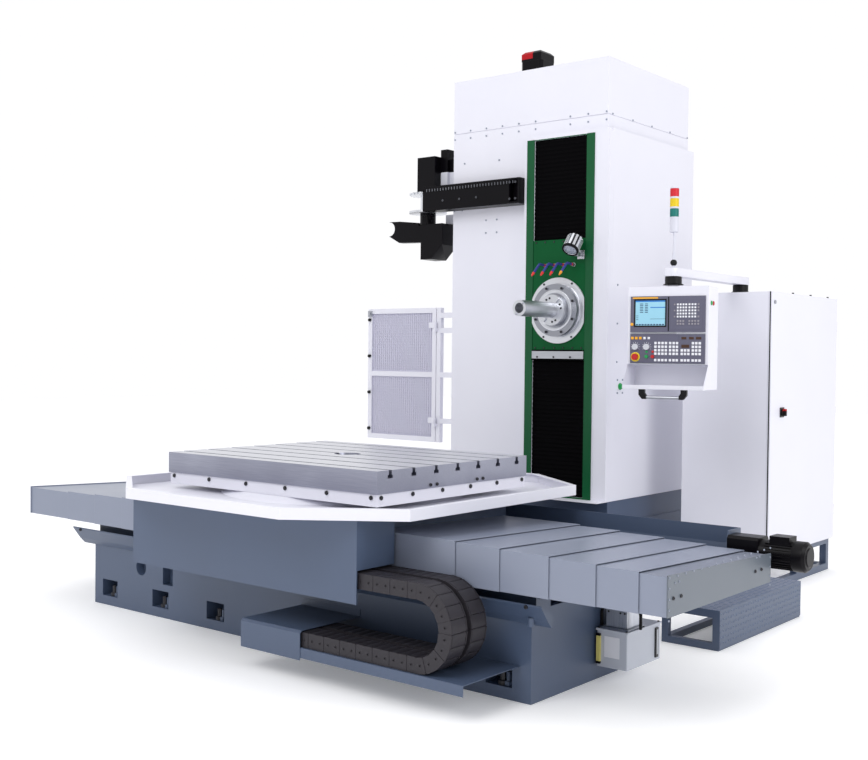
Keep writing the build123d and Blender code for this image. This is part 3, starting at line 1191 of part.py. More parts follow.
def build_all():
    singles = (front_bed, coolant_gutter, chip_trough, chip_auger, auger_gearmotor, saddle,
               saddle_front_cover, chip_tray, table_top, table_skirt, chain_bend, chain_tray, rear_bed,
               column_base, column_housing, spindle_surround, head_drive_motor, magazine_frame,
               magazine_sprocket, changer_drive, changer_head, changer_gripper, cover_rails, headstock,
               spindle_flange, milling_spindle, boring_spindle, coolant_hoses, work_light, gate_frame,
               gate_leaf, electrical_cabinet, cabinet_door, main_switch, cabinet_base, step_platform,
               lubrication_unit, swing_arm, signal_tower, pendant)
    for make in singles:
        PARTS[make.__name__] = make()
    low, high = chain_centres()
    PARTS["chain_upper_run"] = straight_run(CHAIN_CLAMP_X, CHAIN_BEND_X, high, 180)
    PARTS["chain_lower_run"] = straight_run(CHAIN_FIXED_X, CHAIN_BEND_X, low, 0)
    PARTS["upper_apron"] = apron((HEAD_Z[1] + SLIDE_GAP, RECESS_Z[1] - SLIDE_GAP))
    PARTS["lower_apron"] = apron((RECESS_Z[0] + SLIDE_GAP, WIPER_LOW - SLIDE_GAP))
    for name, side, ends, lengths in (("right", 1, RIGHT_ENDS, RIGHT_LENGTHS),
                                      ("left", -1, LEFT_ENDS, LEFT_LENGTHS)):
        for rank, (end, length) in enumerate(zip(ends, lengths), start=1):
            PARTS[f"way_cover_{name}_{rank}"] = way_cover(end, length, rank, len(ends), side)
    PARTS["feed_knob"] = control(KNOB_X[0], KNOB_Z, KNOB_RADIUS, 18, SLIDE_GAP, 1)
    PARTS["speed_knob"] = control(KNOB_X[1], KNOB_Z, KNOB_RADIUS, 18, SLIDE_GAP, 1)
    PARTS["start_button"] = control(BUTTON_X[0], BUTTON_Z, BUTTON_RADIUS, 9, BUTTON_TRAVEL + SLIDE_GAP)
    PARTS["stop_button"] = control(BUTTON_X[1], BUTTON_Z, BUTTON_RADIUS, 9, BUTTON_TRAVEL + SLIDE_GAP)
    PARTS["emergency_stop"] = control(ESTOP_X, ESTOP_Z, ESTOP_RADIUS, 20, BUTTON_TRAVEL + SLIDE_GAP)


build_all()
os.makedirs("parts", exist_ok=True)
for node, shape in PARTS.items():
    export_step(shape, f"parts/{node}.step")
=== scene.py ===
import bpy
import bmesh
from math import atan2, cos, pi, radians, sin
from mathutils import Matrix, Vector


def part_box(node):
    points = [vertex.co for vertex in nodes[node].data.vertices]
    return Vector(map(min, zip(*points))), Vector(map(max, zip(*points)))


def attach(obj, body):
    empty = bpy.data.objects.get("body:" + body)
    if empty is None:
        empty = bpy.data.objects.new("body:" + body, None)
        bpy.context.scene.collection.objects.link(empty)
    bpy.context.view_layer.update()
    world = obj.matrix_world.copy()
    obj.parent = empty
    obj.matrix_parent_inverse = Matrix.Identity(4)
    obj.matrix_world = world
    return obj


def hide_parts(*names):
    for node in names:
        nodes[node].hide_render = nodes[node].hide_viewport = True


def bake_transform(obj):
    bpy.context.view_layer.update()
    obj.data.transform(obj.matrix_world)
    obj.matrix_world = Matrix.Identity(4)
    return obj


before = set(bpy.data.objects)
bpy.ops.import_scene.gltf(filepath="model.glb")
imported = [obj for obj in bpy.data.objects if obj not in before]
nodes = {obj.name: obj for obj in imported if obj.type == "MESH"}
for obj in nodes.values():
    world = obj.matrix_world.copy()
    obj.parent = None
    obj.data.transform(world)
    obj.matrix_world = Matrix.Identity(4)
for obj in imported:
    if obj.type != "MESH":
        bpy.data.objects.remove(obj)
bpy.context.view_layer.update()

# The camera stands at eye height off the table's left front corner and looks
# over the front bed at the column. It is turned 39 degrees from the bed's long
# side, so that the table's front and right sides both show.
camera_turn, camera_tilt, camera_roll = radians(39.0), radians(-1.2), radians(0.6)
level = Vector((cos(camera_turn), sin(camera_turn), 0))
ahead = Vector((-sin(camera_turn) * cos(camera_tilt), cos(camera_turn) * cos(camera_tilt),
                sin(camera_tilt)))
above = level.cross(ahead)
right = level * cos(camera_roll) + above * sin(camera_roll)
up = above * cos(camera_roll) - level * sin(camera_roll)
view = Matrix((right, up, -ahead)).transposed().to_4x4()
view.translation = (4.5549, -4.7975, 1.5917)
camera = bpy.data.objects.new("camera", bpy.data.cameras.new("camera"))
camera.matrix_world = view
camera.data.sensor_width = 36
camera.data.lens = 48.37
camera.data.clip_end = 60
bpy.context.collection.objects.link(camera)
bpy.context.scene.camera = camera


# The studio: a seamless pale floor, a wide soft light over the table's front, a
# weaker one from the right, a faint one from above, and a room that is white
# behind the machine and greyer behind the camera, for the metal to reflect.
def linear(code):
    """An sRGB hex colour as the linear colour that a shader takes."""
    parts = [int(code[start:start + 2], 16) / 255 for start in (1, 3, 5)]
    return [part / 12.92 if part <= 0.04045 else ((part + 0.055) / 1.055) ** 2.4 for part in parts] + [1]


def add(material, kind, links=None, **settings):
    """Adds a node. Each link is a value for a socket, or the output that feeds it."""
    made = material.node_tree.nodes.new(kind)
    for name, value in settings.items():
        setattr(made, name, value)
    for socket, value in (links or {}).items():
        if isinstance(value, bpy.types.NodeSocket):
            material.node_tree.links.new(value, made.inputs[socket])
        else:
            made.inputs[socket].default_value = value
    return made


def finish_of(name, **sockets):
    """A new material with its main shader, and the piece's own coordinates."""
    material = bpy.data.materials.new(name)
    material.use_nodes = True
    shader = material.node_tree.nodes["Principled BSDF"]
    for socket, value in sockets.items():
        shader.inputs[socket.replace("_", " ")].default_value = value
    place = add(material, "ShaderNodeTexCoord").outputs["Object"]
    return material, shader, place


def join_to(material, shader, socket, output):
    material.node_tree.links.new(output, shader.inputs[socket])


def blended(material, factor, low, high):
    """A colour that moves from one hex value to the other with a factor."""
    mix = add(material, "ShaderNodeMix", {0: factor}, data_type="RGBA")
    mix.inputs[6].default_value = linear(low)
    mix.inputs[7].default_value = linear(high)
    return mix.outputs[2]


floor_paint, shader, place = finish_of("seamless_paper", Roughness=0.75, Emission_Strength=0.20)
shader.inputs["Emission Color"].default_value = linear("#FFFFFF")
speckle = add(floor_paint, "ShaderNodeTexNoise", {"Vector": place, "Scale": 1.5, "Detail": 3.0})
join_to(floor_paint, shader, "Base Color", blended(floor_paint, speckle.outputs["Fac"], "#F6F6F7", "#FBFBFB"))
form = bmesh.new()
bmesh.ops.create_grid(form, x_segments=1, y_segments=1, size=30)
floor_mesh = bpy.data.meshes.new("floor")
form.to_mesh(floor_mesh)
form.free()
floor_mesh.materials.append(floor_paint)
floor = bpy.data.objects.new("floor", floor_mesh)
floor.location.z = -0.001
bpy.context.collection.objects.link(floor)

room = bpy.data.worlds.new("white_room")
bpy.context.scene.world = room
room.use_nodes = True
room.node_tree.nodes["Background"].inputs["Color"].default_value = linear("#FDFDFF")
direction = room.node_tree.nodes.new("ShaderNodeTexCoord").outputs["Generated"]
facing = room.node_tree.nodes.new("ShaderNodeVectorMath")
facing.operation = "DOT_PRODUCT"
facing.inputs[1].default_value = (-0.63, 0.78, 0.25)
shade = room.node_tree.nodes.new("ShaderNodeMapRange")
shade.inputs[1].default_value, shade.inputs[2].default_value = -0.9, 0.3
shade.inputs[3].default_value, shade.inputs[4].default_value = 0.56, 1.02
room.node_tree.links.new(direction, facing.inputs[0])
room.node_tree.links.new(facing.outputs["Value"], shade.inputs[0])
room.node_tree.links.new(shade.outputs[0], room.node_tree.nodes["Background"].inputs["Strength"])
for name, spot, aim, power, size in (
        ("key", (0.5, -7.0, 7.5), (0, 0.5, 1.2), 290, 5.0),
        ("side", (8.0, 0.5, 4.5), (0.5, 2.0, 1.5), 185, 4.0),
        ("top", (-0.5, -1.0, 8.5), (0, 0.6, 0.5), 50, 6.0)):
    lamp = bpy.data.lights.new(name, "AREA")
    lamp.energy = power
    lamp.size = size
    lamp_object = bpy.data.objects.new(name, lamp)
    lamp_object.location = spot
    lamp_object.rotation_euler = (Vector(aim) - Vector(spot)).to_track_quat("-Z", "Y").to_euler()
    bpy.context.collection.objects.link(lamp_object)
bpy.context.scene.view_settings.view_transform = "Standard"


# The two beds, the saddle and the sheet parts bolted to them: cast iron and
# folded steel, filled, rubbed down and sprayed with blue-grey machine enamel.
def within(material, place, low, high):
    """1 inside the box between two corners, in metres, and 0 outside."""
    middle, half = (Vector(low) + Vector(high)) / 2, (Vector(high) - Vector(low)) / 2
    offset = add(material, "ShaderNodeVectorMath", {0: place, 1: middle}, operation="SUBTRACT").outputs[0]
    share = add(material, "ShaderNodeVectorMath", {0: offset, 1: half}, operation="DIVIDE").outputs[0]
    size = add(material, "ShaderNodeVectorMath", {0: share}, operation="ABSOLUTE").outputs[0]
    axes = add(material, "ShaderNodeSeparateXYZ", {0: size}).outputs
    widest = add(material, "ShaderNodeMath", {0: axes[0], 1: axes[1]}, operation="MAXIMUM").outputs[0]
    widest = add(material, "ShaderNodeMath", {0: widest, 1: axes[2]}, operation="MAXIMUM").outputs[0]
    return add(material, "ShaderNodeMath", {0: widest, 1: 1.0}, operation="LESS_THAN").outputs[0]


def patched(material, place, colour, patches):
    """Another colour inside each box, for a strip or label that is part of a larger CAD solid."""
    for low, high, code in patches:
        mix = add(material, "ShaderNodeMix", {0: within(material, place, low, high)}, data_type="RGBA")
        material.node_tree.links.new(colour, mix.inputs[6])
        mix.inputs[7].default_value = linear(code)
        colour = mix.outputs[2]
    return colour


def enamel(name, low, high, roughness, peel_mm=7.0, peel_depth=0.05, patches=(), shine=0.5):
    """Sprayed enamel: a faint cloudiness half a metre across and a slight orange peel.
    The real peel is 1 to 2 mm wide and is drawn wider, so that it shows at this size."""
    material, shader, place = finish_of(name, Roughness=roughness, Specular_IOR_Level=shine)
    cloud = add(material, "ShaderNodeTexNoise", {"Vector": place, "Scale": 2.2, "Detail": 4.0}).outputs["Fac"]
    colour = patched(material, place, blended(material, cloud, low, high), patches)
    join_to(material, shader, "Base Color", colour)
    peel = add(material, "ShaderNodeTexNoise", {"Vector": place, "Scale": 1000 / peel_mm, "Detail": 2.0})
    depths = {"Height": peel.outputs["Fac"], "Strength": peel_depth, "Distance": 0.001}
    bump = add(material, "ShaderNodeBump", depths)
    join_to(material, shader, "Normal", bump.outputs["Normal"])
    scuff = add(material, "ShaderNodeMapRange", {0: cloud, 3: roughness - 0.06, 4: roughness + 0.10})
    join_to(material, shader, "Roughness", scuff.outputs[0])
    return material


def dress(finish, *names, edge_mm=0.0):
    """Gives CAD nodes their finish, and breaks their sharp edges as paint or a file does."""
    for name in names:
        part = nodes[name]
        for material_slot in part.material_slots:
            material_slot.material = finish
        if edge_mm:
            part.modifiers.new("joined", "WELD").merge_threshold = 0.00002
            edge = part.modifiers.new("edge", "BEVEL")
            edge.width = edge_mm / 1000
            edge.segments = 2
            edge.limit_method = "ANGLE"
            edge.angle_limit = radians(35)


blue_grey = ("#455269", "#4B5972")
bed_enamel = enamel("blue_grey_enamel", *blue_grey, 0.36)
dress(bed_enamel, "front_bed", "rear_bed", "column_base", "cover_rails", edge_mm=3)
round_base = ((-2.0, -2.0, 0.8272), (2.0, 2.0, 0.8590), "#E4E4EE")
saddle_enamel = enamel("blue_grey_saddle_white_base", *blue_grey, 0.36, patches=[round_base])
dress(saddle_enamel, "saddle", edge_mm=3)
sheet_parts = ("coolant_gutter", "chain_tray", "saddle_front_cover", "chip_trough", "cabinet_base",
               "step_platform")
dress(bed_enamel, *sheet_parts)


# The machined faces, milled or ground in grey cast iron and left bare, with a
# thin film of oil. Of the bed's ways, the table and the rails, only the table is
# given this finish here.
def machined(name, low, high, roughness, grain=(4, 260, 260), depth=0.08, patches=()):
    """Bare cut metal: fine tool lines along one axis, and slow changes of tone.
    The lines are wider than the real 0.2 mm ones, so that they can be seen."""
    material, shader, place = finish_of(name, Roughness=roughness, Metallic=1.0)
    stretched = add(material, "ShaderNodeVectorMath", {0: place, 1: grain}, operation="MULTIPLY").outputs[0]
    waves = {"Vector": stretched, "Scale": 1.0, "Detail": 3.0}
    lines = add(material, "ShaderNodeTexNoise", waves).outputs["Fac"]
    cloud = add(material, "ShaderNodeTexNoise", {"Vector": place, "Scale": 3.0, "Detail": 2.0}).outputs["Fac"]
    tone = add(material, "ShaderNodeMath", {0: lines, 1: cloud}, operation="MULTIPLY").outputs[0]
    spread = add(material, "ShaderNodeMapRange", {0: tone, 1: 0.1, 2: 0.45}).outputs[0]
    colour = patched(material, place, blended(material, spread, low, high), patches)
    join_to(material, shader, "Base Color", colour)
    gloss = add(material, "ShaderNodeMapRange", {0: lines, 3: roughness - 0.08, 4: roughness + 0.10})
    join_to(material, shader, "Roughness", gloss.outputs[0])
    bump = add(material, "ShaderNodeBump", {"Height": lines, "Strength": depth, "Distance": 0.0005})
    join_to(material, shader, "Normal", bump.outputs["Normal"])
    return material


def new_mesh(name, form, finish, body, edge_mm=0.0, smooth_below=35):
    """Turns a bmesh into a piece: normals outward, one finish, riding on its body, if it has one."""
    bmesh.ops.remove_doubles(form, verts=form.verts, dist=0.00001)
    bmesh.ops.recalc_face_normals(form, faces=form.faces)
    mesh = bpy.data.meshes.new(name)
    form.to_mesh(mesh)
    form.free()
    mesh.shade_smooth()
    mesh.set_sharp_from_angle(angle=radians(smooth_below))
    mesh.materials.append(finish)
    made = bpy.data.objects.new(name, mesh)
    bpy.context.collection.objects.link(made)
    if edge_mm:
        edge = made.modifiers.new("edge", "BEVEL")
        edge.width = edge_mm / 1000
        edge.segments = 2
        edge.limit_method = "ANGLE"
        edge.angle_limit = radians(35)
    if body:
        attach(made, body)
    return made


def brick(form, low, high, turn=None):
    """A box between two corners, turned by a matrix where one is given."""
    corners = bmesh.ops.create_cube(form, size=1)["verts"]
    low, high = Vector(low), Vector(high)
    for corner in corners:
        corner.co = (low + high) / 2 + corner.co * (high - low)
        if turn:
            corner.co = turn @ corner.co
    return corners


def lathe(form, profile, base, axis, steps=20):
    """Spins points of (distance along the axis, radius) about the axis."""
    base, axis = Vector(base), Vector(axis).normalized()
    side = axis.orthogonal().normalized()
    points = [form.verts.new(base + axis * along + side * radius) for along, radius in profile]
    edges = [form.edges.new(pair) for pair in zip(points, points[1:])]
    bmesh.ops.spin(form, geom=points + edges, cent=base, axis=axis, angle=2 * pi, steps=steps, use_merge=True)


def extruded(form, outline, start, end, place):
    """A prism: the outline's (a, b) points at two depths, put in space by place(a, b, depth)."""
    near = [form.verts.new(place(a, b, start)) for a, b in outline]
    far = [form.verts.new(place(a, b, end)) for a, b in outline]
    form.faces.new(near)
    form.faces.new(far[::-1])
    count = len(outline)
    for index in range(count):
        following = (index + 1) % count
        form.faces.new((near[index], near[following], far[following], far[index]))


def screws(name, places, facing, radius, finish, body):
    """Cap screws with a round socket, standing on a face at the given places."""
    form = bmesh.new()
    profile = ((-0.001, radius), (radius * 0.5, radius), (radius * 0.7, radius * 0.86),
               (radius * 0.7, radius * 0.52), (radius * 0.2, radius * 0.48), (radius * 0.2, 0))
    for place in places:
        lathe(form, profile, place, facing, 10)
    return new_mesh(name, form, finish, body)


# The way covers: folded sheet steel over the front bed's ways, each sliding
# inside the next larger one, with a wiper lip on its outer edge.
rivet_steel = enamel("zinc_plated_steel", "#8990A0", "#9CA3B2", 0.34, peel_mm=2)
end_plate = ((2.3195, -1.0, 0.30), (2.33, 1.0, 0.80), "#5C646E")
cover_enamel = enamel("light_grey_enamel", "#7E8597", "#878EA0", 0.31, patches=[end_plate])
covers = ["way_cover_right_" + str(rank) for rank in range(1, 7)]
covers += ["way_cover_left_" + str(rank) for rank in range(1, 6)]
dress(cover_enamel, *covers, edge_mm=1.5)
black_steel = enamel("black_oxide_steel", "#1C1B20", "#2A2930", 0.42, peel_mm=3)
end_low, end_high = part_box("way_cover_right_6")
to_right = (1, 0, 0)
bolts = [(end_high.x, y, 0.606) for y in (-0.471, -0.403, 0.338, 0.406)]
screws("cover_end_screws", bolts, to_right, 0.008, black_steel, "machine")
edge_y = (end_low.y + 0.012, end_high.y - 0.012)
edge_z = end_high.z - 0.012
rivets = [(end_high.x, edge_y[0] + (edge_y[1] - edge_y[0]) * index / 14, edge_z) for index in range(15)]
rivets += [(end_high.x, y, edge_z - 0.044 * index) for y in edge_y for index in range(1, 5)]
rivets += [(end_high.x, y, 0.668) for y in (-0.455, -0.420, 0.350, 0.385)]
screws("cover_end_rivets", rivets, to_right, 0.0045, rivet_steel, "machine")


# The drag chain: closed plastic links, moulded in black glass-filled nylon and
# snapped together at round pivots. Two chains lie side by side on the tray.
chain_nylon = enamel("black_chain_nylon", "#242227", "#322F35", 0.50, peel_mm=2.5, peel_depth=0.2, shine=0.35)
pitch, half_height, wall = 0.052, 0.037, 0.007
chain_spans, chain_middle = ((-0.812, -0.696), (-0.668, -0.552)), -0.68
fixed_x, run_links, bend_count = 0.3, 18, 10


def link(form, y_span, x, z, turn, index, curve=0.0):
    """Two side plates with their pivots, and a ribbed lid on each face, fanned out where the chain bends."""
    ahead, outward = Vector((cos(turn), 0, sin(turn))), Vector((sin(turn), 0, -cos(turn)))
    centre = Vector((x, 0, z))
    step = 0.0015 if index % 2 else 0.0

    def place(along, out, y):
        return centre + ahead * along * (1 + out * curve) + outward * out + Vector((0, y, 0))

    waist, end = half_height - 0.004, pitch / 2
    side = ((-end, -waist), (-end + 0.003, -half_height), (end - 0.003, -half_height), (end, -waist),
            (end, waist), (end - 0.003, half_height), (-end + 0.003, half_height), (-end, waist))
    low, high = y_span
    extruded(form, side, low + step, low + wall + step, place)
    extruded(form, side, high - wall - step, high - step, place)
    lid = pitch / 2 - 0.0008
    for out in (half_height - 0.004, -half_height + 0.004):
        rise = 0.004 if out > 0 else -0.004
        crown = ((-lid, out - rise), (lid, out - rise), (lid, out), (lid - 0.006, out + rise * 0.9),
                 (-lid + 0.006, out + rise * 0.9), (-lid, out))
        extruded(form, crown, low + wall + 0.003, high - wall - 0.003, place)
    for y, facing in ((low + step, -1), (high - step, 1)):
        lathe(form, ((-0.002, 0.008), (0.0008, 0.008), (0.0008, 0.005), (0.0, 0.004), (0.0, 0)),
              place(0, 0, y), (0, facing, 0), 10)


low_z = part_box("chain_lower_run")[0].z + half_height
high_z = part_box("chain_upper_run")[1].z - half_height
bend_x, bend_radius, bend_z = 1.236, (high_z - low_z) / 2, (high_z + low_z) / 2
runs = []
for name, node, z, turn in (("chain_upper_links", "chain_upper_run", high_z, pi),
                            ("chain_lower_links", "chain_lower_run", low_z, 0)):
    form = bmesh.new()
    for span in chain_spans:
        for index in range(run_links):
            link(form, span, fixed_x + (index + 0.5) * pitch, z, turn, index)
    runs.append(new_mesh(name, form, chain_nylon, None))
    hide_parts(node)
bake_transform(runs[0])
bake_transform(runs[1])
form = bmesh.new()
for span in chain_spans:
    for index in range(bend_count):
        turn = pi * (index + 0.5) / bend_count
        x, z = bend_x + bend_radius * sin(turn), bend_z - bend_radius * cos(turn)
        link(form, span, x, z, turn, index, 1 / bend_radius)
bend_links = new_mesh("chain_bend_links", form, chain_nylon, "chain_bend")
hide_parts("chain_bend")


# The chip tray, the table's skirt and the column's housing: folded sheet steel
# in white enamel. The skirt's bolt heads, part of its CAD solid, are black.
white = ("#DFDFE9", "#E4E4ED")
white_enamel = enamel("white_enamel", *white, 0.30)
dress(white_enamel, "chip_tray", "column_housing", edge_mm=1.5)
skirt_x, skirt_y, table_x, head_black = 0.7803, 0.6223, 0.048, "#0E0D11"
head_low, head_high, proud = 0.87, 0.92, 0.01
heads = []
for side in (-1, 1):
    near, far = side * skirt_y - proud * (side < 0), side * skirt_y + proud * (side > 0)
    heads.append(((table_x - 1, near, head_low), (table_x + 1, far, head_high), head_black))
for side in (-1, 1):
    near, far = side * skirt_x - proud * (side < 0), side * skirt_x + proud * (side > 0)
    heads.append(((table_x + near, -0.7, head_low), (table_x + far, 0.7, head_high), head_black))
skirt_enamel = enamel("white_enamel_with_black_bolts", *white, 0.30, patches=heads)
dress(skirt_enamel, "table_skirt", edge_mm=1.0)


# The table: grey cast iron, its top ground flat and its seven T-slots milled
# right through, for the bolts that clamp the work.
ground_top = [((-1, -1, 1.0335), (1.2, 1, 1.036), "#D3D4DA")]
table_iron = machined("ground_table_iron", "#9092A0", "#A6A8B6", 0.36, grain=(9, 420, 420), depth=0.04,
                      patches=ground_top)
dress(table_iron, "table_top", edge_mm=1.0)
side_screws = [(0.836, y, 0.937) for y in (-0.224, -0.172, 0.168, 0.220)]
screws("table_side_screws", side_screws, to_right, 0.009, black_steel, "rotary_table")


# The column's bellows: black coated fabric in flat pleats, stitched to a frame
# at each end. On the machine it folds up as the headstock rises and falls; here
# each is built once at its CAD length and does not move.
bellows_cloth = enamel("black_coated_fabric", "#020203", "#050406", 0.75, peel_mm=2.0, peel_depth=0.3,
                       shine=0.04)


def bellows(name, low, high, node):
    """A pleated strip closed at its back: each pleat stands 5 mm proud of its folds."""
    pleats = round((high - low) / 0.030)
    pitch_z = (high - low) / pleats
    half, back, fold, ridge = 0.219, 2.243, 2.2415, 2.237
    outline = [(back, low)]
    for index in range(pleats):
        z = low + index * pitch_z
        outline += [(fold, z + 0.0004), (ridge, z + pitch_z * 0.5)]
    outline += [(fold, high - 0.0004), (back, high)]
    form = bmesh.new()
    rows = [[form.verts.new((x, y, z)) for x in (-half, half)] for y, z in outline]
    for first, second in zip(rows, rows[1:]):
        form.faces.new((first[0], first[1], second[1], second[0]))
    for index in range(pleats):
        base = 1 + 2 * index
        for side in (0, 1):
            form.faces.new((rows[base][side], rows[base + 1][side], rows[base + 2][side]))
    for side in (0, 1):
        form.faces.new([rows[0][side]] + [row[side] for row in rows[1:-1:2]] + [rows[-1][side]])
    form.faces.new((rows[-1][0], rows[-1][1], rows[0][1], rows[0][0]))
    made = new_mesh(name, form, bellows_cloth, None, smooth_below=10)
    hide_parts(node)
    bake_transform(made)


for node, fixed_high in (("upper_apron", True), ("lower_apron", False)):
    low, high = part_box(node)[0].z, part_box(node)[1].z
    start, end = (high, low) if fixed_high else (low, high)
    bellows(node.replace("apron", "bellows"), low, high, node)


# The headstock's front plate and the guide strips beside it: machined plate,
# sprayed in a deep machine green. The strips' surround is white sheet steel.
green_enamel = enamel("deep_green_enamel", "#004A24", "#00562B", 0.36, shine=0.14)
dress(green_enamel, "headstock", edge_mm=1.0)
strips = ((-0.2835, 2.2240, 0.588), (0.2835, 2.2331, 3.1565), "#00502A")
surround_enamel = enamel("white_enamel_with_green_strips", *white, 0.34, patches=[strips], shine=0.3)
dress(surround_enamel, "spindle_surround", edge_mm=1.0)


# The levelling screws: jacking screws with hexagon nuts in the bed's pockets,
# turned to level the machine on its foundation.
to_front, upward = (0, -1, 0), (0, 0, 1)
first_pocket, pocket_pitch, screw_shift, pocket_floor = -1.690, 0.5015, 0.52 * 0.153, 0.057
nut_and_screw = ((0.0005, 0.0225), (0.018, 0.0225), (0.0215, 0.019), (0.0215, 0.0125), (0.064, 0.0125),
                 (0.066, 0.0105), (0.066, 0))
form = bmesh.new()
for index in range(7):
    x = first_pocket + index * pocket_pitch + screw_shift
    for y in (-0.362, 0.362):
        lathe(form, nut_and_screw, (x, y, pocket_floor), upward, 6)
new_mesh("levelling_screws", form, black_steel, "machine", smooth_below=10)
gutter_places = [(x, -0.4835, 0.468) for x in (-1.80, -0.95, 0.95, 1.606)]
screws("gutter_screws", gutter_places, to_front, 0.010, black_steel, "machine")


# The chip auger, a steel screw worn bright by chips, and its gear motor: a cast
# housing in black enamel, with cooling fins and a cowl over its fan.
auger_steel = machined("worn_auger_steel", "#6D6B68", "#8E8A84", 0.42, grain=(120, 120, 120))
dress(auger_steel, "chip_auger")
black = ("#040307", "#09070C", 0.31)
black_enamel = enamel("black_enamel", *black, shine=0.14)
dress(black_enamel, "auger_gearmotor", edge_mm=1.0)
form = bmesh.new()
motor_y, motor_z, motor_radius = 0.640, 0.646, 0.066
for index in range(28):
    turn = 2 * pi * index / 28
    if abs(turn - pi / 2) < 0.5:
        continue
    spin = Matrix.Translation((0, motor_y, motor_z)) @ Matrix.Rotation(turn, 4, "X")
    brick(form, (2.262, motor_radius - 0.002, -0.0013), (2.395, motor_radius + 0.006, 0.0013), spin)
lathe(form, ((0, 0.05), (0, 0.0735), (0.004, 0.0745), (0.052, 0.0745), (0.066, 0.062), (0.066, 0)),
      (2.400, motor_y, motor_z), to_right, 28)
new_mesh("auger_motor_fins", form, black_enamel, "machine", edge_mm=0.5)


# The screws of the column's sheet covers: two rows along the cap's seam, and
# single screws where the covers are fixed to the casting behind them.
front_y, seam_pitch, seam_rows = 2.293, 0.1487, (3.306, 3.250)
front_places = [(-1.001 + seam_pitch * index, front_y, z) for index in range(10) for z in seam_rows
                if index != 6]
single = ((-0.906, 3.060), (-0.581, 3.057), (-1.003, 2.705), (-0.925, 2.705))
front_places += [(x, front_y, z) for x, z in single]
front_places += [(x, front_y, z) for x in (-0.698, -0.598) for z in (2.615, 2.520)]
screws("column_front_screws", front_places, to_front, 0.0068, rivet_steel, "column")
cap_x, flank_x = 0.350, 0.400
side_places = [(cap_x, 2.353 + 0.282 * index, 3.298) for index in range(5)]
side_places += [(flank_x, 2.366, z) for z in (2.100, 1.830, 1.560)]
side_places += [(flank_x, y, z) for y in (2.378, 2.450) for z in (1.434, 1.342)]
screws("column_side_screws", side_places, to_right, 0.0068, rivet_steel, "column")
green_plastic = enamel("green_button_plastic", "#0F8A45", "#18A050", 0.30, peel_mm=2)
form = bmesh.new()
lathe(form, ((0, 0.024), (0.006, 0.024), (0.008, 0.018), (0.020, 0.018), (0.022, 0.014), (0.022, 0)),
      (flank_x, 2.415, 1.388), to_right, 20)
new_mesh("lubrication_button", form, green_plastic, "column")


# The head drive motor on the column's roof: a finned casting in black enamel,
# with a red cowl over the fan at its left end.
cowl = ((-0.48, 2.37, 3.800), (-0.36, 2.59, 3.87), "#A81820")
motor_enamel = enamel("black_enamel_red_cowl", *black, shine=0.14, patches=[cowl])
dress(motor_enamel, "head_drive_motor", edge_mm=2.0)


# The wiper at the headstock's foot: an aluminium bar that holds a rubber lip
# against the guide strips, with the plate's screws above it.
form = bmesh.new()
brick(form, (-0.217, 2.2175, 1.578), (0.217, 2.2225, 1.632))
bar_metal = machined("brushed_aluminium", "#A6A9B0", "#C3C5CB", 0.34, grain=(5, 300, 300))
new_mesh("wiper_bar", form, bar_metal, "headstock", edge_mm=0.8)
form = bmesh.new()
brick(form, (-0.2185, 2.2150, 1.568), (0.2185, 2.2225, 1.5785))
brick(form, (-0.2185, 2.2190, 1.6315), (0.2185, 2.2275, 1.6420))
new_mesh("wiper_rubber", form, bellows_cloth, "headstock", edge_mm=1.0)
wiper_screws = [(x, 2.2175, 1.590) for x in (-0.17, -0.03, 0.11)]
screws("wiper_screws", wiper_screws, to_front, 0.007, black_steel, "headstock")
plate_screws = [(x, 2.228, 2.413) for x in (-0.195, -0.119, -0.042, 0.035)]
plate_screws += [(x, 2.228, 1.656) for x in (-0.195, -0.119, -0.031, 0.045, 0.121, 0.195)]
screws("head_plate_screws", plate_screws, to_front, 0.0065, black_steel, "headstock")


# The spindle: a ground flange with a thick bearing ring, the milling nose with
# its drive keys, and the boring bar that slides out through it.
nose_z = 1.922


def around(radius, degrees, y):
    return (radius * cos(radians(degrees)), y, nose_z + radius * sin(radians(degrees)))


def turned(name, low, high, roughness, patches=()):
    """Faced on a lathe: fine rings round the spindle's own axis, wider than the real 0.3 mm feed."""
    material, shader, place = finish_of(name, Roughness=roughness, Metallic=1.0)
    from_axis = {0: place, 1: (0, 0, nose_z)}
    offset = add(material, "ShaderNodeVectorMath", from_axis, operation="SUBTRACT").outputs[0]
    across = add(material, "ShaderNodeVectorMath", {0: offset, 1: (1, 0, 1)}, operation="MULTIPLY").outputs[0]
    radius = add(material, "ShaderNodeVectorMath", {0: across}, operation="LENGTH").outputs["Value"]
    waves = {"W": radius, "Scale": 240.0, "Detail": 3.0}
    rings = add(material, "ShaderNodeTexNoise", waves, noise_dimensions="1D").outputs["Fac"]
    colour = patched(material, place, blended(material, rings, low, high), patches)
    join_to(material, shader, "Base Color", colour)
    gloss = add(material, "ShaderNodeMapRange", {0: rings, 3: roughness - 0.02, 4: roughness + 0.08})
    join_to(material, shader, "Roughness", gloss.outputs[0])
    bump = add(material, "ShaderNodeBump", {"Height": rings, "Strength": 0.06, "Distance": 0.001})
    join_to(material, shader, "Normal", bump.outputs["Normal"])
    return material
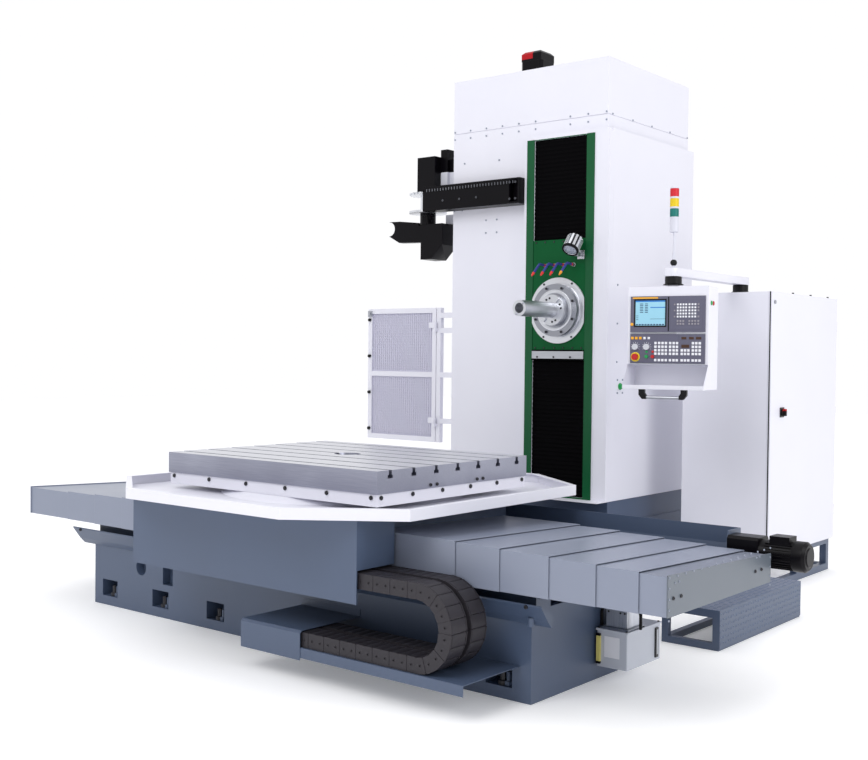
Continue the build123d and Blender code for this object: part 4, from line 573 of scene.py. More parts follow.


# The bearing ring is patched a darker grey than the flange: painted reflection, the dark tone the ring's
# metal would show by mirroring its surroundings.
bearing_ring = ((-0.1865, 2.0, 1.735), (0.1865, 2.2165, 2.109), "#9D9FA7")
flange_steel = turned("faced_flange_steel", "#C9CBD1", "#E8EAEE", 0.27, patches=[bearing_ring])
dress(flange_steel, "spindle_flange", edge_mm=0.6)
turned_steel = turned("faced_spindle_steel", "#BFC1C8", "#E4E6EA", 0.27)
dress(turned_steel, "milling_spindle", edge_mm=0.6)
spindle_steel = machined("polished_spindle_steel", "#CDCFD5", "#E4E6EA", 0.34, grain=(8, 8, 8), depth=0.01)
dress(spindle_steel, "boring_spindle")
ring_front, flange_front, nose_front = 2.174, 2.218, 2.132
outer_screws = [around(0.222, degrees, flange_front) for degrees in (58, 122, 238, 302)]
screws("flange_screws", outer_screws, to_front, 0.0075, black_steel, "headstock")
ring_screws = [around(0.166, 22.5 + 45 * index, ring_front - 0.006) for index in range(8)]
screws("ring_screws", ring_screws, to_front, 0.0095, black_steel, "headstock")
form = bmesh.new()
lathe(form, ((0, 0.146), (0.0025, 0.146), (0.0035, 0.143), (0.0035, 0.124), (0.0015, 0.121), (0, 0.121)),
      (0, ring_front, nose_z), to_front, 64)
lathe(form, ((0.0, 0.192), (0.010, 0.192), (0.013, 0.189), (0.013, 0.185)),
      (0, flange_front, nose_z), to_front, 64)
new_mesh("bearing_ring_steps", form, turned_steel, "headstock")
nose_holes = [around(0.084, degrees, nose_front) for degrees in (8, 98, 188, 278)]
nose_holes += [around(0.082, degrees, nose_front) for degrees in (28, 118, 208, 298)]
screws("nose_screws", nose_holes, to_front, 0.0075, black_steel, "milling_spindle")
form = bmesh.new()
lathe(form, ((0, 0.1085), (0.003, 0.1085), (0.003, 0.1105), (0.008, 0.1105), (0.008, 0.1085),
             (0.011, 0.1085)), (0, nose_front + 0.012, nose_z), to_front, 64)
new_mesh("nose_collar", form, turned_steel, "milling_spindle")


# The coolant hoses: jointed plastic links that hold any bend, with a red or
# orange nozzle. Each link is a ball that snaps into the next one's socket.
hose_plastic = enamel("blue_hose_plastic", "#232C78", "#2C388C", 0.38, peel_mm=2)
nozzle_red = enamel("red_nozzle_plastic", "#C8201C", "#DA3028", 0.30, peel_mm=2)
nozzle_orange = enamel("orange_nozzle_plastic", "#D88414", "#E89A28", 0.30, peel_mm=2)
fitting_steel = machined("nickel_fitting", "#B0B2B8", "#CFD1D6", 0.25, grain=(80, 80, 80))
hose_x = (-0.102, -0.026, 0.050, 0.128)
root_y, root_z, reach, drop = 2.228, 2.244, 0.172, 0.064
blue, fittings = bmesh.new(), bmesh.new()
for index, x in enumerate(hose_x):
    root = Vector((x, root_y, root_z))
    fitting = Vector((x, root_y - 0.022, root_z))
    elbow = Vector((x, root_y - reach * 0.55, root_z + 0.006))
    tip = Vector((x, root_y - reach, root_z - drop))
    lathe(fittings, ((-0.001, 0.0145), (0.006, 0.0145), (0.0065, 0.0125), (0.0225, 0.0125), (0.0225, 0.006)),
          root, fitting - root, 6)
    for start, end in ((fitting, elbow), (elbow, tip)):
        length = (end - start).length
        count = round(length / 0.0135)
        profile = [(0, 0.004)]
        for bead in range(count):
            base = length * bead / count
            step = length / count
            profile += [(base + step * share, radius) for share, radius in
                        ((0.05, 0.0072), (0.35, 0.0092), (0.75, 0.0092), (0.95, 0.0078))]
        lathe(blue, profile + [(length, 0.004)], start, end - start, 12)
    nozzle = bmesh.new()
    down = (tip - elbow).normalized()
    lathe(nozzle, ((-0.008, 0.004), (-0.007, 0.0095), (0.004, 0.0098), (0.010, 0.0080), (0.028, 0.0050),
                   (0.028, 0.0028), (0.020, 0.0028)), tip, down, 14)
    finish = nozzle_orange if index == 3 else nozzle_red
    new_mesh("coolant_nozzle_" + str(index + 1), nozzle, finish, "headstock")
    collar = bmesh.new()
    lathe(collar, ((-0.005, 0.006), (-0.005, 0.0105), (0.005, 0.0105), (0.005, 0.006)),
          fitting + Vector((0, -0.012, 0.001)), to_front, 14)
    new_mesh("hose_collar_" + str(index + 1), collar, nozzle_red, "headstock")
hose_links = new_mesh("coolant_hose_links", blue, hose_plastic, "headstock")
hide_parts("coolant_hoses")
new_mesh("hose_fittings", fittings, fitting_steel, "headstock")


# The work light: a cast aluminium body with long cooling fins, and a ring that
# holds the lens. A black core inside the fins is painted shade for the deep gaps
# between each pair.
tilt = radians(38)
lamp_axis = Vector((0, sin(tilt), cos(tilt)))
lamp_centre = Vector((0.176, 2.134, 2.382))
lens_middle = lamp_centre - lamp_axis * 0.060
lamp_alloy = machined("bright_cast_aluminium", "#C9CBD1", "#E2E4E8", 0.28, grain=(40, 40, 40), depth=0.04)
lamp_space = lamp_axis.to_track_quat("Z", "Y").to_matrix().to_4x4()
lamp_space.translation = lamp_centre
form = bmesh.new()
for index in range(12):
    spin = lamp_space @ Matrix.Rotation(2 * pi * (index + 0.5) / 12, 4, "Z")
    brick(form, (0.044, -0.0085, -0.046), (0.0585, 0.0085, 0.046), spin)
lathe(form, ((0.046, 0), (0.046, 0.040), (0.060, 0.036), (0.060, 0)), lamp_centre, lamp_axis, 24)
lathe(form, ((0.000, 0.046), (-0.003, 0.050), (0, 0.0595), (0.012, 0.0595), (0.014, 0.056), (0.014, 0.046)),
      lens_middle, lamp_axis, 36)
light_body = new_mesh("work_light_fins", form, lamp_alloy, "headstock", edge_mm=1.2)
# The black core shows between the fins: painted shade for the gaps.
form = bmesh.new()
lathe(form, ((0.012, 0.047), (0.106, 0.047), (0.106, 0)), lens_middle, lamp_axis, 24)
new_mesh("work_light_gap_shade", form, black_enamel, "headstock")
form = bmesh.new()
lathe(form, ((0.001, 0.0445), (0.001, 0.047), (-0.0045, 0.0485), (-0.0045, 0.0590), (0.002, 0.0605),
             (0.010, 0.0605), (0.010, 0.058)), lens_middle, lamp_axis, 36)
new_mesh("work_light_seal", form, black_enamel, "headstock")
lens_glass, shader, place = finish_of("frosted_lens_glass", Roughness=0.12, Coat_Weight=0.6)
prisms = add(lens_glass, "ShaderNodeTexVoronoi", {"Vector": place, "Scale": 110.0}).outputs["Distance"]
join_to(lens_glass, shader, "Base Color", blended(lens_glass, prisms, "#B9BFCC", "#6E7687"))
bump = add(lens_glass, "ShaderNodeBump", {"Height": prisms, "Strength": 0.5, "Distance": 0.002})
join_to(lens_glass, shader, "Normal", bump.outputs["Normal"])
form = bmesh.new()
lathe(form, ((0.004, 0.0495), (0.0005, 0.046), (-0.003, 0.030), (-0.0045, 0)), lens_middle, lamp_axis, 36)
new_mesh("work_light_lens", form, lens_glass, "headstock")
form = bmesh.new()
brick(form, (0.158, 2.2195, 2.280), (0.214, 2.2285, 2.342))
brick(form, (0.171, 2.150, 2.296), (0.197, 2.222, 2.324))
lathe(form, ((-0.006, 0), (-0.006, 0.012), (0.038, 0.012), (0.038, 0)), (0.168, 2.165, 2.310), to_right, 16)
new_mesh("work_light_bracket", form, fitting_steel, "headstock", edge_mm=1.5)
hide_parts("work_light")


# The tool changer: a black steel beam on the column that carries the tool chain
# on its front, and the drive, the turning head and the gripper at its left end.
# The drive's stay and the beam's bracket are white, and the rollers bare steel.
guard = ((-1.25, 2.29, 2.60), (-1.00, 2.50, 2.7045), "#D9DAE4")
beam_enamel = enamel("black_enamel_white_bracket", *black, shine=0.14, patches=[guard])
dress(beam_enamel, "magazine_frame", edge_mm=1.0)
stay = ((-1.1695, 2.29, 2.50), (-1.00, 2.50, 3.02), "#D9DAE4")
drive_enamel = enamel("black_enamel_white_stay", *black, shine=0.14, patches=[stay])
dress(drive_enamel, "changer_drive", edge_mm=1.0)
dress(black_enamel, "changer_head", "changer_gripper", edge_mm=1.0)
dress(spindle_steel, "magazine_sprocket")
form = bmesh.new()
for index in range(31):
    x = -1.180 + index * 0.027
    lathe(form, ((0, 0), (0, 0.0042), (0.020, 0.0042), (0.020, 0)), (x, 2.1720, 2.852), upward, 8)
roller_steel = machined("oiled_roller_steel", "#5E6066", "#7E8086", 0.36, grain=(60, 60, 60))
new_mesh("magazine_rollers", form, roller_steel, "column")
beam_bolts = [(-0.395, 2.170, z) for z in (2.74, 2.86)] + [(x, 2.170, 2.775) for x in (-1.02, -0.86, -0.70)]
beam_bolts += [(-0.345, 2.170, z) for z in (2.74, 2.86)]
screws("beam_screws", beam_bolts, to_front, 0.009, roller_steel, "column")


# The swing arm, a white steel tube with black posts and boots at its pivots, and
# the signal tower on its end: three ribbed lenses on a white plastic body, over
# a thin white pole with a black ball joint at its foot.
post = ((1.0, 1.8, 2.0), (1.15, 3.0, 2.1075), "#17171B")
dress(enamel("white_enamel_arm", *white, 0.30, patches=[post]), "swing_arm", edge_mm=2.0)
arm_x, arm_y = 1.070, 1.906
tower_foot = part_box("signal_tower")[0].z
base_low, lens_height = tower_foot + 0.226, 0.058
tower_white = enamel("white_tower_plastic", "#C9CAD6", "#D2D3DE", 0.32, peel_mm=2)
form = bmesh.new()
foot, base = (arm_x, arm_y, tower_foot), (arm_x, arm_y, base_low)
lathe(form, ((0, 0), (0, 0.020), (0.006, 0.020), (0.008, 0.010), (0.022, 0.010)), foot, upward, 24)
lathe(form, ((0.050, 0.009), (0.100, 0.009), (0.104, 0.006), (0.226, 0.006)), foot, upward, 16)
lathe(form, ((0, 0), (0, 0.022), (0.004, 0.028), (0.086, 0.028), (0.088, 0.026)), base, upward, 28)
tones = (("green", "#006A62", "#0A7E76"), ("yellow", "#D8BC08", "#ECD01C"), ("red", "#B80E22", "#DC1C30"))
for index, (name, low_code, high_code) in enumerate(tones):
    low = base_low + 0.088 + index * (lens_height + 0.006)
    stack = (arm_x, arm_y, low)
    lathe(form, ((-0.003, 0.020), (-0.001, 0.0285), (0.010, 0.0285), (0.012, 0.020)), stack, upward, 28)
    coloured = bmesh.new()
    lathe(coloured, ((0.009, 0), (0.009, 0.0268), (0.062, 0.0268), (0.064, 0.024), (0.064, 0)),
          stack, upward, 28)
    for rib in range(28):
        spin = Matrix.Translation(stack) @ Matrix.Rotation(2 * pi * rib / 28, 4, "Z")
        brick(coloured, (0.0262, -0.0011, 0.012), (0.0278, 0.0011, 0.060), spin)
    lens = enamel(name + "_lens_plastic", low_code, high_code, 0.31, peel_mm=2)
    new_mesh("signal_lens_" + name, coloured, lens, "swing_arm")
lathe(form, ((0.062, 0), (0.062, 0.0285), (0.0700, 0.0260), (0.0730, 0.018), (0.0740, 0)),
      (arm_x, arm_y, low - 0.0005), upward, 28)
tower_body = new_mesh("signal_tower_body", form, tower_white, "swing_arm")
black_moulding = enamel("black_moulding", "#070709", "#0F0F12", 0.40, peel_mm=2, shine=0.25)
ball_radius = 0.0215
ball = [(0.0, 0.0)]
for step in range(1, 10):
    turn = pi * step / 10
    ball.append((ball_radius - ball_radius * cos(turn), ball_radius * sin(turn)))
ball.append((2 * ball_radius, 0.0))
form = bmesh.new()
lathe(form, ball, (arm_x, arm_y, tower_foot + 0.014), upward, 24)
new_mesh("tower_ball_joint", form, black_moulding, "swing_arm")
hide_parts("signal_tower")
boot = ((0, 0.030), (0, 0.064), (0.004, 0.064), (0.009, 0.053), (0.050, 0.053), (0.054, 0.050),
        (0.054, 0.030))
form = bmesh.new()
for y in (arm_y, 2.906):
    lathe(form, boot, (arm_x, y, 2.0535), upward, 32)
new_mesh("arm_pivot_boots", form, black_moulding, "swing_arm")


# The operator's pendant: a folded steel box with a shelf below, a door on its
# back and an anodised aluminium panel, which is screwed into its open front.
pendant_turn, face = radians(10), 0.109


def on_panel(x, out, z):
    """A place on the pendant's front, from its own middle line, out from the panel."""
    depth = -face - out
    return Vector((arm_x + x * cos(pendant_turn) - depth * sin(pendant_turn),
                   arm_y + x * sin(pendant_turn) + depth * cos(pendant_turn), z))


panel_space = Matrix.Translation((arm_x, arm_y, 0)) @ Matrix.Rotation(pendant_turn, 4, "Z")
out_of_panel = on_panel(0, 1, 0) - on_panel(0, 0, 0)


def plate(form, xs, zs, low=0.0, high=0.001):
    """A flat plate on the panel, between two heights above it."""
    brick(form, (xs[0], -face - high, zs[0]), (xs[1], -face - low, zs[1]), panel_space)


def on_pendant(name, form, finish, edge_mm=0.0):
    return new_mesh(name, form, finish, "pendant", edge_mm=edge_mm)


body_half, body_depth = 0.260, 0.105
shelf_low, shelf_lip, shelf_top, shelf_front = 1.395, 1.421, 1.552, -0.200
side_shape = ((body_depth, shelf_low), (shelf_front, shelf_low), (shelf_front, shelf_lip),
              (-body_depth, shelf_top), (-body_depth, 2.040), (body_depth, 2.040))
form = bmesh.new()
extruded(form, side_shape, -body_half, body_half, lambda a, b, depth: Vector((depth, a, b)))
bmesh.ops.recalc_face_normals(form, faces=form.faces)
slope = [wall for wall in form.faces if wall.normal.z > 0.3 and wall.normal.y < -0.3]
bmesh.ops.inset_region(form, faces=slope, thickness=0.005)
for corner in slope[0].verts:
    corner.co.y = 0.035
    corner.co.z = shelf_top - 0.010 if corner.co.z > (shelf_lip + shelf_top) / 2 else shelf_low + 0.008
bmesh.ops.transform(form, matrix=panel_space, verts=form.verts)
lathe(form, ((0, 0), (0, 0.034), (0.0135, 0.034), (0.0135, 0)), (arm_x, arm_y, 2.0395), upward, 24)
pendant_enamel = enamel("white_enamel_pendant", *white, 0.30)
pendant_body = on_pendant("pendant_body", form, pendant_enamel, edge_mm=1.5)
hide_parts("pendant")
form = bmesh.new()
brick(form, (-0.238, 0.1045, 1.430), (0.238, 0.1075, 2.005), panel_space)
on_pendant("pendant_back_door", form, pendant_enamel, edge_mm=1.0)
screen_x, screen_z = (-0.212, -0.012), (1.792, 1.956)
panel_grey = enamel("anodised_panel_grey", "#565668", "#605F74", 0.50, peel_mm=1.5)


def framed(form, xs, zs, hole_x, hole_z, low, high):
    """A flat plate on the panel with a square opening in it."""
    plate(form, (xs[0], hole_x[0]), zs, low, high)
    plate(form, (hole_x[1], xs[1]), zs, low, high)
    plate(form, hole_x, (zs[0], hole_z[0]), low, high)
    plate(form, hole_x, (hole_z[1], zs[1]), low, high)


button_hole = (-0.2275, -0.1845), (1.5755, 1.6185)
form = bmesh.new()
framed(form, (-0.242, 0.242), (1.754, 1.979), screen_x, screen_z, 0.0, 0.002)
framed(form, (-0.242, 0.242), (1.557, 1.742), *button_hole, 0.0, 0.002)
framed(form, (-0.236, 0.072), (1.563, 1.736), *button_hole, 0.002, 0.0032)
plate(form, (0.020, 0.224), (1.770, 1.954), 0.002, 0.0035)
plate(form, (0.080, 0.228), (1.563, 1.736), 0.002, 0.0032)
on_pendant("operating_panel", form, panel_grey, edge_mm=0.4)
form = bmesh.new()
plate(form, (-0.243, 0.243), (1.5525, 1.5570), 0.0, 0.0045)
plate(form, (-0.242, 0.060), (1.745, 1.751), 0.0, 0.0045)
plate(form, (0.072, 0.242), (1.741, 1.747), 0.0, 0.0045)
on_pendant("panel_trim", form, bar_metal, edge_mm=0.4)
form = bmesh.new()
rim, lap = 0.006, 0.003
bezel_z = (screen_z[0] - rim, screen_z[1] + rim)
for xs, zs in (((screen_x[0] - rim, screen_x[0] + lap), bezel_z),
               ((screen_x[1] - lap, screen_x[1] + rim), bezel_z),
               (screen_x, (screen_z[0] - rim, screen_z[0] + lap)),
               (screen_x, (screen_z[1] - lap, screen_z[1] + rim))):
    plate(form, xs, zs, -0.004, 0.0035)
plate(form, (0.0035, 0.0105), (1.760, 1.975), 0.001, 0.004)
on_pendant("screen_bezel", form, black_moulding, edge_mm=0.6)

# The display: a lit liquid-crystal screen that shows plain rows of an axis
# readout and menu boxes, with no words.
screen_cyan = enamel("lit_display_cyan", "#8CC6E0", "#A4D8EA", 0.15, peel_mm=4, peel_depth=0.0)
screen_blue = enamel("lit_display_blue", "#2E78C8", "#3C88D4", 0.15, peel_mm=4, peel_depth=0.0)
screen_ink = enamel("lit_display_ink", "#35506E", "#43607E", 0.15, peel_mm=4, peel_depth=0.0)
form = bmesh.new()
plate(form, screen_x, screen_z, 0.0, 0.0012)
on_pendant("display", form, screen_cyan)
form = bmesh.new()
plate(form, screen_x, (1.944, 1.955), 0.0012, 0.0018)
plate(form, (-0.112, -0.014), (1.906, 1.912), 0.0012, 0.0018)
on_pendant("display_bars", form, screen_blue)
form = bmesh.new()
for row in range(6):
    z = 1.932 - row * 0.0105
    for start, width in ((-0.180, 0.022), (-0.148, 0.020)):
        plate(form, (start, start + width), (z - 0.003, z + 0.002), 0.0012, 0.0017)
for row in range(3):
    plate(form, (-0.204, -0.190), (1.855 - row * 0.012, 1.858 - row * 0.012), 0.0012, 0.0017)
plate(form, (-0.112, -0.016), (1.836, 1.838), 0.0012, 0.0017)
for box in range(10):
    plate(form, (-0.206 + box * 0.0190, -0.192 + box * 0.0190), (1.797, 1.805), 0.0012, 0.0017)
on_pendant("display_rows", form, screen_ink)
form = bmesh.new()
plate(form, (-0.228, -0.062), (1.9645, 1.9735), 0.002, 0.003)
lathe(form, ((0.001, 0.010), (0.005, 0.010), (0.006, 0.008), (0.006, 0)),
      on_panel(-0.231, 0, 1.803), out_of_panel, 12)
amber = enamel("amber_plastic", "#E8A012", "#F4B42C", 0.28, peel_mm=2)
on_pendant("amber_parts", form, amber)


# The keys: white push keys in groups on the lower panel, smaller ones beside
# the screen, and grey cursor keys under those.
key_white = enamel("white_key_plastic", "#E4E5EC", "#EFF0F5", 0.38, peel_mm=1.5)
key_grey = enamel("grey_key_plastic", "#8B8790", "#9A969F", 0.38, peel_mm=1.5)
white_form, grey_form = bmesh.new(), bmesh.new()


def key(form, x, z, width, low=0.0035):
    plate(form, (x - width / 2, x + width / 2), (z - width / 2, z + width / 2), low, low + 0.004)


upper_columns = (0.067, 0.085, 0.103, 0.120, 0.141, 0.160, 0.178)
upper_rows = (1.926, 1.907, 1.888, 1.869, 1.850)
for z in upper_rows:
    for x in upper_columns:
        key(white_form, x, z, 0.0115)
for index, z in enumerate(upper_rows):
    if index != 3:
        key(grey_form, 0.198, z, 0.0110)
    if index % 2 == 0:
        key(grey_form, 0.047, z, 0.0095)
for z in (1.823, 1.805):
    for x in (0.067, 0.085, 0.103, 0.141, 0.160, 0.178, 0.198):
        key(grey_form, x, z, 0.0115)
lower_rows = (1.685, 1.662, 1.640, 1.618, 1.578)
for columns, first in (((-0.074, -0.050, -0.028, -0.006), 0), ((0.021, 0.044, 0.065), 0),
                       ((0.096, 0.117, 0.138), 2), ((0.166, 0.187, 0.209), 0)):
    for z in lower_rows[first:]:
        for x in columns:
            key(white_form, x, z, 0.0155, 0.003)
on_pendant("white_keys", white_form, key_white, edge_mm=1.2)
on_pendant("grey_keys", grey_form, key_grey, edge_mm=1.0)
upper_z = (1.708, 1.724)
form = bmesh.new()
for xs, zs in (((0.092, 0.124), upper_z), ((0.140, 0.170), upper_z), ((0.184, 0.218), upper_z),
               ((0.092, 0.142), (1.656, 1.676))):
    plate(form, xs, zs, 0.003, 0.0045)
readout = enamel("dim_readout_window", "#3A2418", "#4C3020", 0.20, peel_mm=2)
on_pendant("readouts", form, readout, edge_mm=0.6)
form = bmesh.new()
for x in (-0.226, -0.200, -0.174):
    key(form, x, 1.716, 0.017, 0.003)
on_pendant("warning_lamps", form, amber, edge_mm=1.5)
form = bmesh.new()
for x in (-0.146, -0.118):
    key(form, x, 1.716, 0.015, 0.003)
    plate(form, (x - 0.002, x + 0.002), (1.710, 1.722), 0.007, 0.011)
on_pendant("key_switches", form, key_white, edge_mm=0.8)


# The panel's round controls: moulded knobs and buttons, a yellow collar round
# the mushroom button, white scale marks round the two override knobs, and lamps
# over the start and stop buttons.
knob_plastic = enamel("silver_knob_plastic", "#BFC1C8", "#D2D4DA", 0.30, peel_mm=2)
dress(knob_plastic, "feed_knob", "speed_knob", edge_mm=0.5)
red_plastic = enamel("red_button_plastic", "#B01018", "#C41A20", 0.30, peel_mm=2)
dress(red_plastic, "emergency_stop", "stop_button")
dress(green_plastic, "start_button")
form = bmesh.new()
lathe(form, ((0.001, 0.0212), (0.001, 0.030), (0.0045, 0.030), (0.0055, 0.028), (0.0055, 0.0212)),
      on_panel(-0.206, 0, 1.597), out_of_panel, 32)
yellow_plastic = enamel("yellow_plastic", "#E0C010", "#ECD028", 0.30, peel_mm=2)
on_pendant("stop_collar", form, yellow_plastic)
form = bmesh.new()
for x in (-0.206, -0.132):
    for index in range(9):
        turn = radians(-120 + 30 * index)
        place = Vector((x + 0.027 * sin(turn), -face, 1.661 + 0.027 * cos(turn)))
        brick(form, (-0.0012, -0.0040, -0.0030), (0.0012, -0.0030, 0.0030),
              panel_space @ Matrix.Translation(place) @ Matrix.Rotation(turn, 4, "Y"))
on_pendant("knob_scales", form, key_white)
for x, finish, name in ((-0.132, green_plastic, "start_lamp"), (-0.092, red_plastic, "stop_lamp")):
    form = bmesh.new()
    lathe(form, ((0.003, 0.008), (0.0055, 0.008), (0.0065, 0.006), (0.0065, 0)),
          on_panel(x, 0, 1.630), out_of_panel, 16)
    on_pendant(name, form, finish)


# The handle, a bright bar between two moulded brackets under the shelf, and the
# two lamps on the pendant's right side.
form = bmesh.new()
outline = ((0.154, 1.397), (0.116, 1.397), (0.116, 1.372), (0.104, 1.356), (0.104, 1.334), (0.132, 1.334),
           (0.154, 1.360))
for side in (-1, 1):
    bracket = [(side * x, z) for x, z in outline]
    extruded(form, bracket, -0.197, -0.167, lambda a, b, depth: panel_space @ Vector((a, depth, b)))
on_pendant("handle_brackets", form, black_moulding, edge_mm=3.0)
form = bmesh.new()
start, sideways = panel_space @ Vector((-0.112, -0.182, 1.345)), panel_space.to_3x3() @ Vector(to_right)
lathe(form, ((0, 0), (0, 0.010), (0.224, 0.010), (0.224, 0)), start, sideways, 20)
on_pendant("handle_bar", form, bar_metal)
for y, finish, name in ((-0.052, green_plastic, "side_lamp_green"), (-0.010, red_plastic, "side_lamp_red")):
    form = bmesh.new()
    start = panel_space @ Vector((0.260, y, 1.935))
    lathe(form, ((-0.001, 0.014), (0.004, 0.014), (0.007, 0.010), (0.007, 0)), start, sideways, 16)
    on_pendant(name, form, finish)


# The electrical cabinet: folded sheet steel on a base frame, in white enamel.
# A thin black strip at the door's seam, down the front and over the roof, is
# painted shadow for the gap between body and door. The door holds the main
# switch with its red grip, and lifting eyes stand on the roof.
dress(white_enamel, "electrical_cabinet", edge_mm=1.5)
switch_plate = ((1.3602, 2.92, 1.18), (1.37, 3.01, 1.27), "#1B1A1E")
lock = ((1.3602, 2.79, 1.96), (1.38, 2.84, 2.0), "#8C8F96")
dress(enamel("white_enamel_door", *white, 0.30, patches=[switch_plate, lock]), "cabinet_door", edge_mm=1.5)
grip = ((1.3755, 2.93, 1.236), (1.40, 3.0, 1.26), "#B4141C")
switch_plastic = enamel("black_switch_plastic", "#08080A", "#101013", 0.36, shine=0.25, patches=[grip])
dress(switch_plastic, "main_switch", edge_mm=0.6)
cabinet_low, cabinet_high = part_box("electrical_cabinet")
# The black strip at the seam is painted shadow: it stands for the shaded gap between the cabinet's body and
# its door.
seam = cabinet_high.x - 0.004
gap_shadow_x = (seam - 0.004, seam + 0.0035)
form = bmesh.new()
brick(form, (gap_shadow_x[0], cabinet_low.y - 0.0015, cabinet_low.z),
      (gap_shadow_x[1], cabinet_low.y + 0.004, cabinet_high.z))
brick(form, (gap_shadow_x[0], cabinet_low.y, cabinet_high.z - 0.002),
      (gap_shadow_x[1], cabinet_high.y, cabinet_high.z + 0.001))
new_mesh("door_gap_shadow", form, bellows_cloth, "machine")
form = bmesh.new()
for y in (cabinet_low.y + 0.50, cabinet_high.y - 0.40, cabinet_high.y - 0.06):
    lathe(form, ((-0.001, 0.012), (0.006, 0.012), (0.008, 0.008), (0.016, 0.008), (0.016, 0)),
          (cabinet_high.x - 0.05, y, 2.050), upward, 12)
new_mesh("roof_eyes", form, black_steel, "machine")


# The gate: a welded tube frame in white enamel with woven wire panels, hung on
# a frame on the column, with rubber stops on its free post and a latch on top.
dress(white_enamel, "gate_frame", edge_mm=1.5)
mesh_low = ((-1.93, 2.395, 0.94), (-1.28, 2.417, 1.42), "#CFCEDE")
mesh_high = ((-1.93, 2.395, 1.46), (-1.28, 2.417, 1.94), "#CFCEDE")
gate_enamel = enamel("white_enamel_gate", *white, 0.34, patches=[mesh_low, mesh_high])
dress(gate_enamel, "gate_leaf", edge_mm=1.0)
form = bmesh.new()
for z in (1.881, 1.583, 1.285, 0.986):
    lathe(form, ((0, 0.013), (0.016, 0.013), (0.018, 0.010), (0.018, 0)), (-1.948, 2.386, z), to_front, 16)
new_mesh("gate_stops", form, black_moulding, "gate_leaf")
wire_pitch, wire_half, mesh_x = 0.022, 0.0014, (-1.925, -1.285)
form = bmesh.new()
for low, high in ((0.945, 1.415), (1.465, 1.935)):
    for y in (2.4005, 2.4115):
        for index in range(1, round((high - low) / wire_pitch)):
            z = low + index * wire_pitch
            brick(form, (mesh_x[0], y - 0.0016, z - wire_half), (mesh_x[1], y + 0.0016, z + wire_half))
        for index in range(1, 29):
            x = mesh_x[0] + index * wire_pitch
            brick(form, (x - wire_half, y - 0.0020, low), (x + wire_half, y + 0.0020, high))
new_mesh("gate_wires", form, gate_enamel, "gate_leaf")
form = bmesh.new()
brick(form, (-1.966, 2.376, 1.905), (-1.925, 2.388, 1.955))
brick(form, (-1.955, 2.366, 1.918), (-1.935, 2.378, 1.944))
new_mesh("gate_latch", form, bar_metal, "gate_leaf", edge_mm=1.0)


# The step: checker plate welded on a tube frame. Its raised bars stand in
# pairs, crosswise to their neighbours, and are pressed into the sheet.
form = bmesh.new()
step_low, step_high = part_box("step_platform")
step_top = step_high.z
bar_pitch, bar_half, bar_width = 0.032, 0.0135, 0.0050


def tread_bar(form, middle, along, across, out):
    """One raised bar: a lens-shaped foot and a shorter ridge."""
    foot = [form.verts.new(middle + along * a + across * b) for a, b in
            ((-bar_half, 0), (0, -bar_width), (bar_half, 0), (0, bar_width))]
    ridge = [form.verts.new(middle + along * a + out * 0.0034) for a in (-bar_half * 0.5, bar_half * 0.5)]
    for corners in ((foot[0], foot[1], ridge[0]), (foot[1], ridge[1], ridge[0]),
                    (foot[1], foot[2], ridge[1]), (foot[2], foot[3], ridge[1]),
                    (foot[3], ridge[0], ridge[1]), (foot[3], foot[0], ridge[0])):
        form.faces.new(corners)
    form.faces.new(foot[::-1])


columns, rows = int((step_high.x - step_low.x) / bar_pitch), int((step_high.y - step_low.y) / bar_pitch)
for row in range(rows):
    y = step_low.y + (row + 0.5) * (step_high.y - step_low.y) / rows
    for column in range(columns):
        x = step_low.x + (column + 0.5) * (step_high.x - step_low.x) / columns
        slant = 1 if (row + column) % 2 else -1
        tread_bar(form, Vector((x, y, step_top - 0.0003)), Vector((1, slant, 0)).normalized(),
                  Vector((-slant, 1, 0)).normalized(), Vector(upward))
    for level in range(6):
        z = step_top - 0.020 - level * bar_pitch
        slant = 1 if (row + level) % 2 else -1
        tread_bar(form, Vector((step_high.x - 0.0003, y, z)), Vector((0, 1, slant)).normalized(),
                  Vector((0, -slant, 1)).normalized(), Vector(to_right))
# The raised bars are a lighter blue-grey than the step's sheet: painted highlight on the bars, which catch
# the light.
painted_highlight_tread = enamel("worn_tread_plate", "#5A667E", "#6A768E", 0.31, peel_mm=3)
new_mesh("tread_bars", form, painted_highlight_tread, "machine", smooth_below=10)


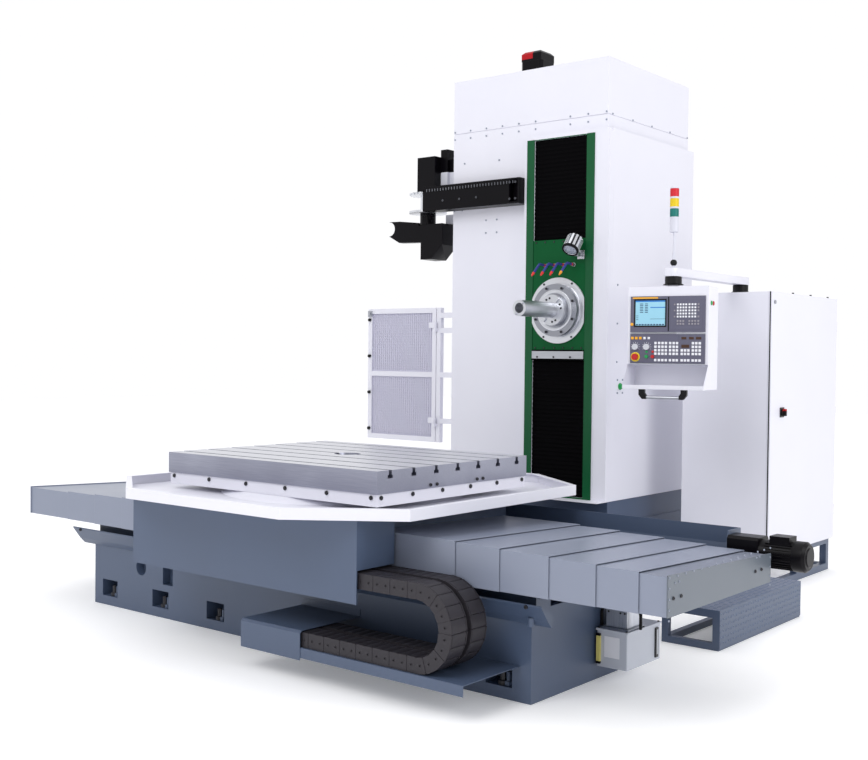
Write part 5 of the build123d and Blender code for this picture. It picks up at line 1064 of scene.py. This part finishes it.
# The oil tank: a welded steel tank with a bare label plate, a sight glass on
# its front and a level gauge on its end, and the pump's valve block on its lid.
sight = ((1.58, 0.14, 0.08), (1.62, 0.1597, 0.25), "#DCD07A")
gauge = ((1.7602, 0.40, 0.08), (1.78, 0.48, 0.25), "#17171B")
pump = ((1.60, 0.20, 0.2605), (1.76, 0.45, 0.40), "#8E929B")
tank_enamel = enamel("light_tank_enamel", "#B9BEC9", "#C6CAD4", 0.31, patches=[sight, gauge, pump])
dress(tank_enamel, "lubrication_unit", edge_mm=1.0)
form = bmesh.new()
brick(form, (1.633, 2.0, 0.124), (1.718, 2.001, 0.227), Matrix.Translation((0, -1.8412, 0)))
new_mesh("bare_label", form, key_white, "machine", edge_mm=0.4)
form = bmesh.new()
brick(form, (1.7675, 0.441, 0.104), (1.7695, 0.455, 0.228))
new_mesh("gauge_window", form, bar_metal, "machine")
lid_places = [(x, y, 0.260) for x in (1.598, 1.752) for y in (0.168, 0.330, 0.488)]
screws("tank_lid_screws", lid_places, upward, 0.006, black_steel, "machine")
form = bmesh.new()
brick(form, (1.608, 0.184, 0.2595), (1.752, 0.350, 0.2680))
brick(form, (1.620, 0.196, 0.2680), (1.738, 0.322, 0.3735))
tank_silver = machined("brushed_tank_steel", "#A9ADB6", "#C8CBD2", 0.30, grain=(300, 300, 6))
new_mesh("pump_block", form, tank_silver, "machine", edge_mm=1.5)
block_screws = [(x, 0.196, z) for x in (1.634, 1.700, 1.724) for z in (0.342, 0.360)]
screws("pump_screws", block_screws, to_front, 0.005, black_steel, "machine")
pipe, pipe_bend, crown_z, lid_z = 0.008, 0.034, 0.330, 0.262
form = bmesh.new()
for x, y, turn in ((1.618, 0.215, pi), (1.742, 0.260, 0)):
    bend = [radians(90 - 30 * step) for step in range(4)]
    points = [Vector((x + cos(turn) * pipe_bend * cos(angle), y, crown_z + pipe_bend * sin(angle)))
              for angle in bend]
    for start, end in zip(points, points[1:]):
        length = (end - start).length + 0.002
        lathe(form, ((0, 0), (0, pipe), (length, pipe), (length, 0)), start, end - start, 10)
    low = Vector((x + cos(turn) * pipe_bend, y, lid_z))
    lathe(form, ((0, 0), (0, pipe), (0.070, pipe), (0.070, 0)), low, upward, 10)
new_mesh("pump_pipes", form, black_enamel, "machine")
form = bmesh.new()
for z in (0.094, 0.231):
    brick(form, (1.5925, 0.1455, z - 0.006), (1.6155, 0.1590, z + 0.006))
new_mesh("sight_ends", form, black_enamel, "machine", edge_mm=1.5)
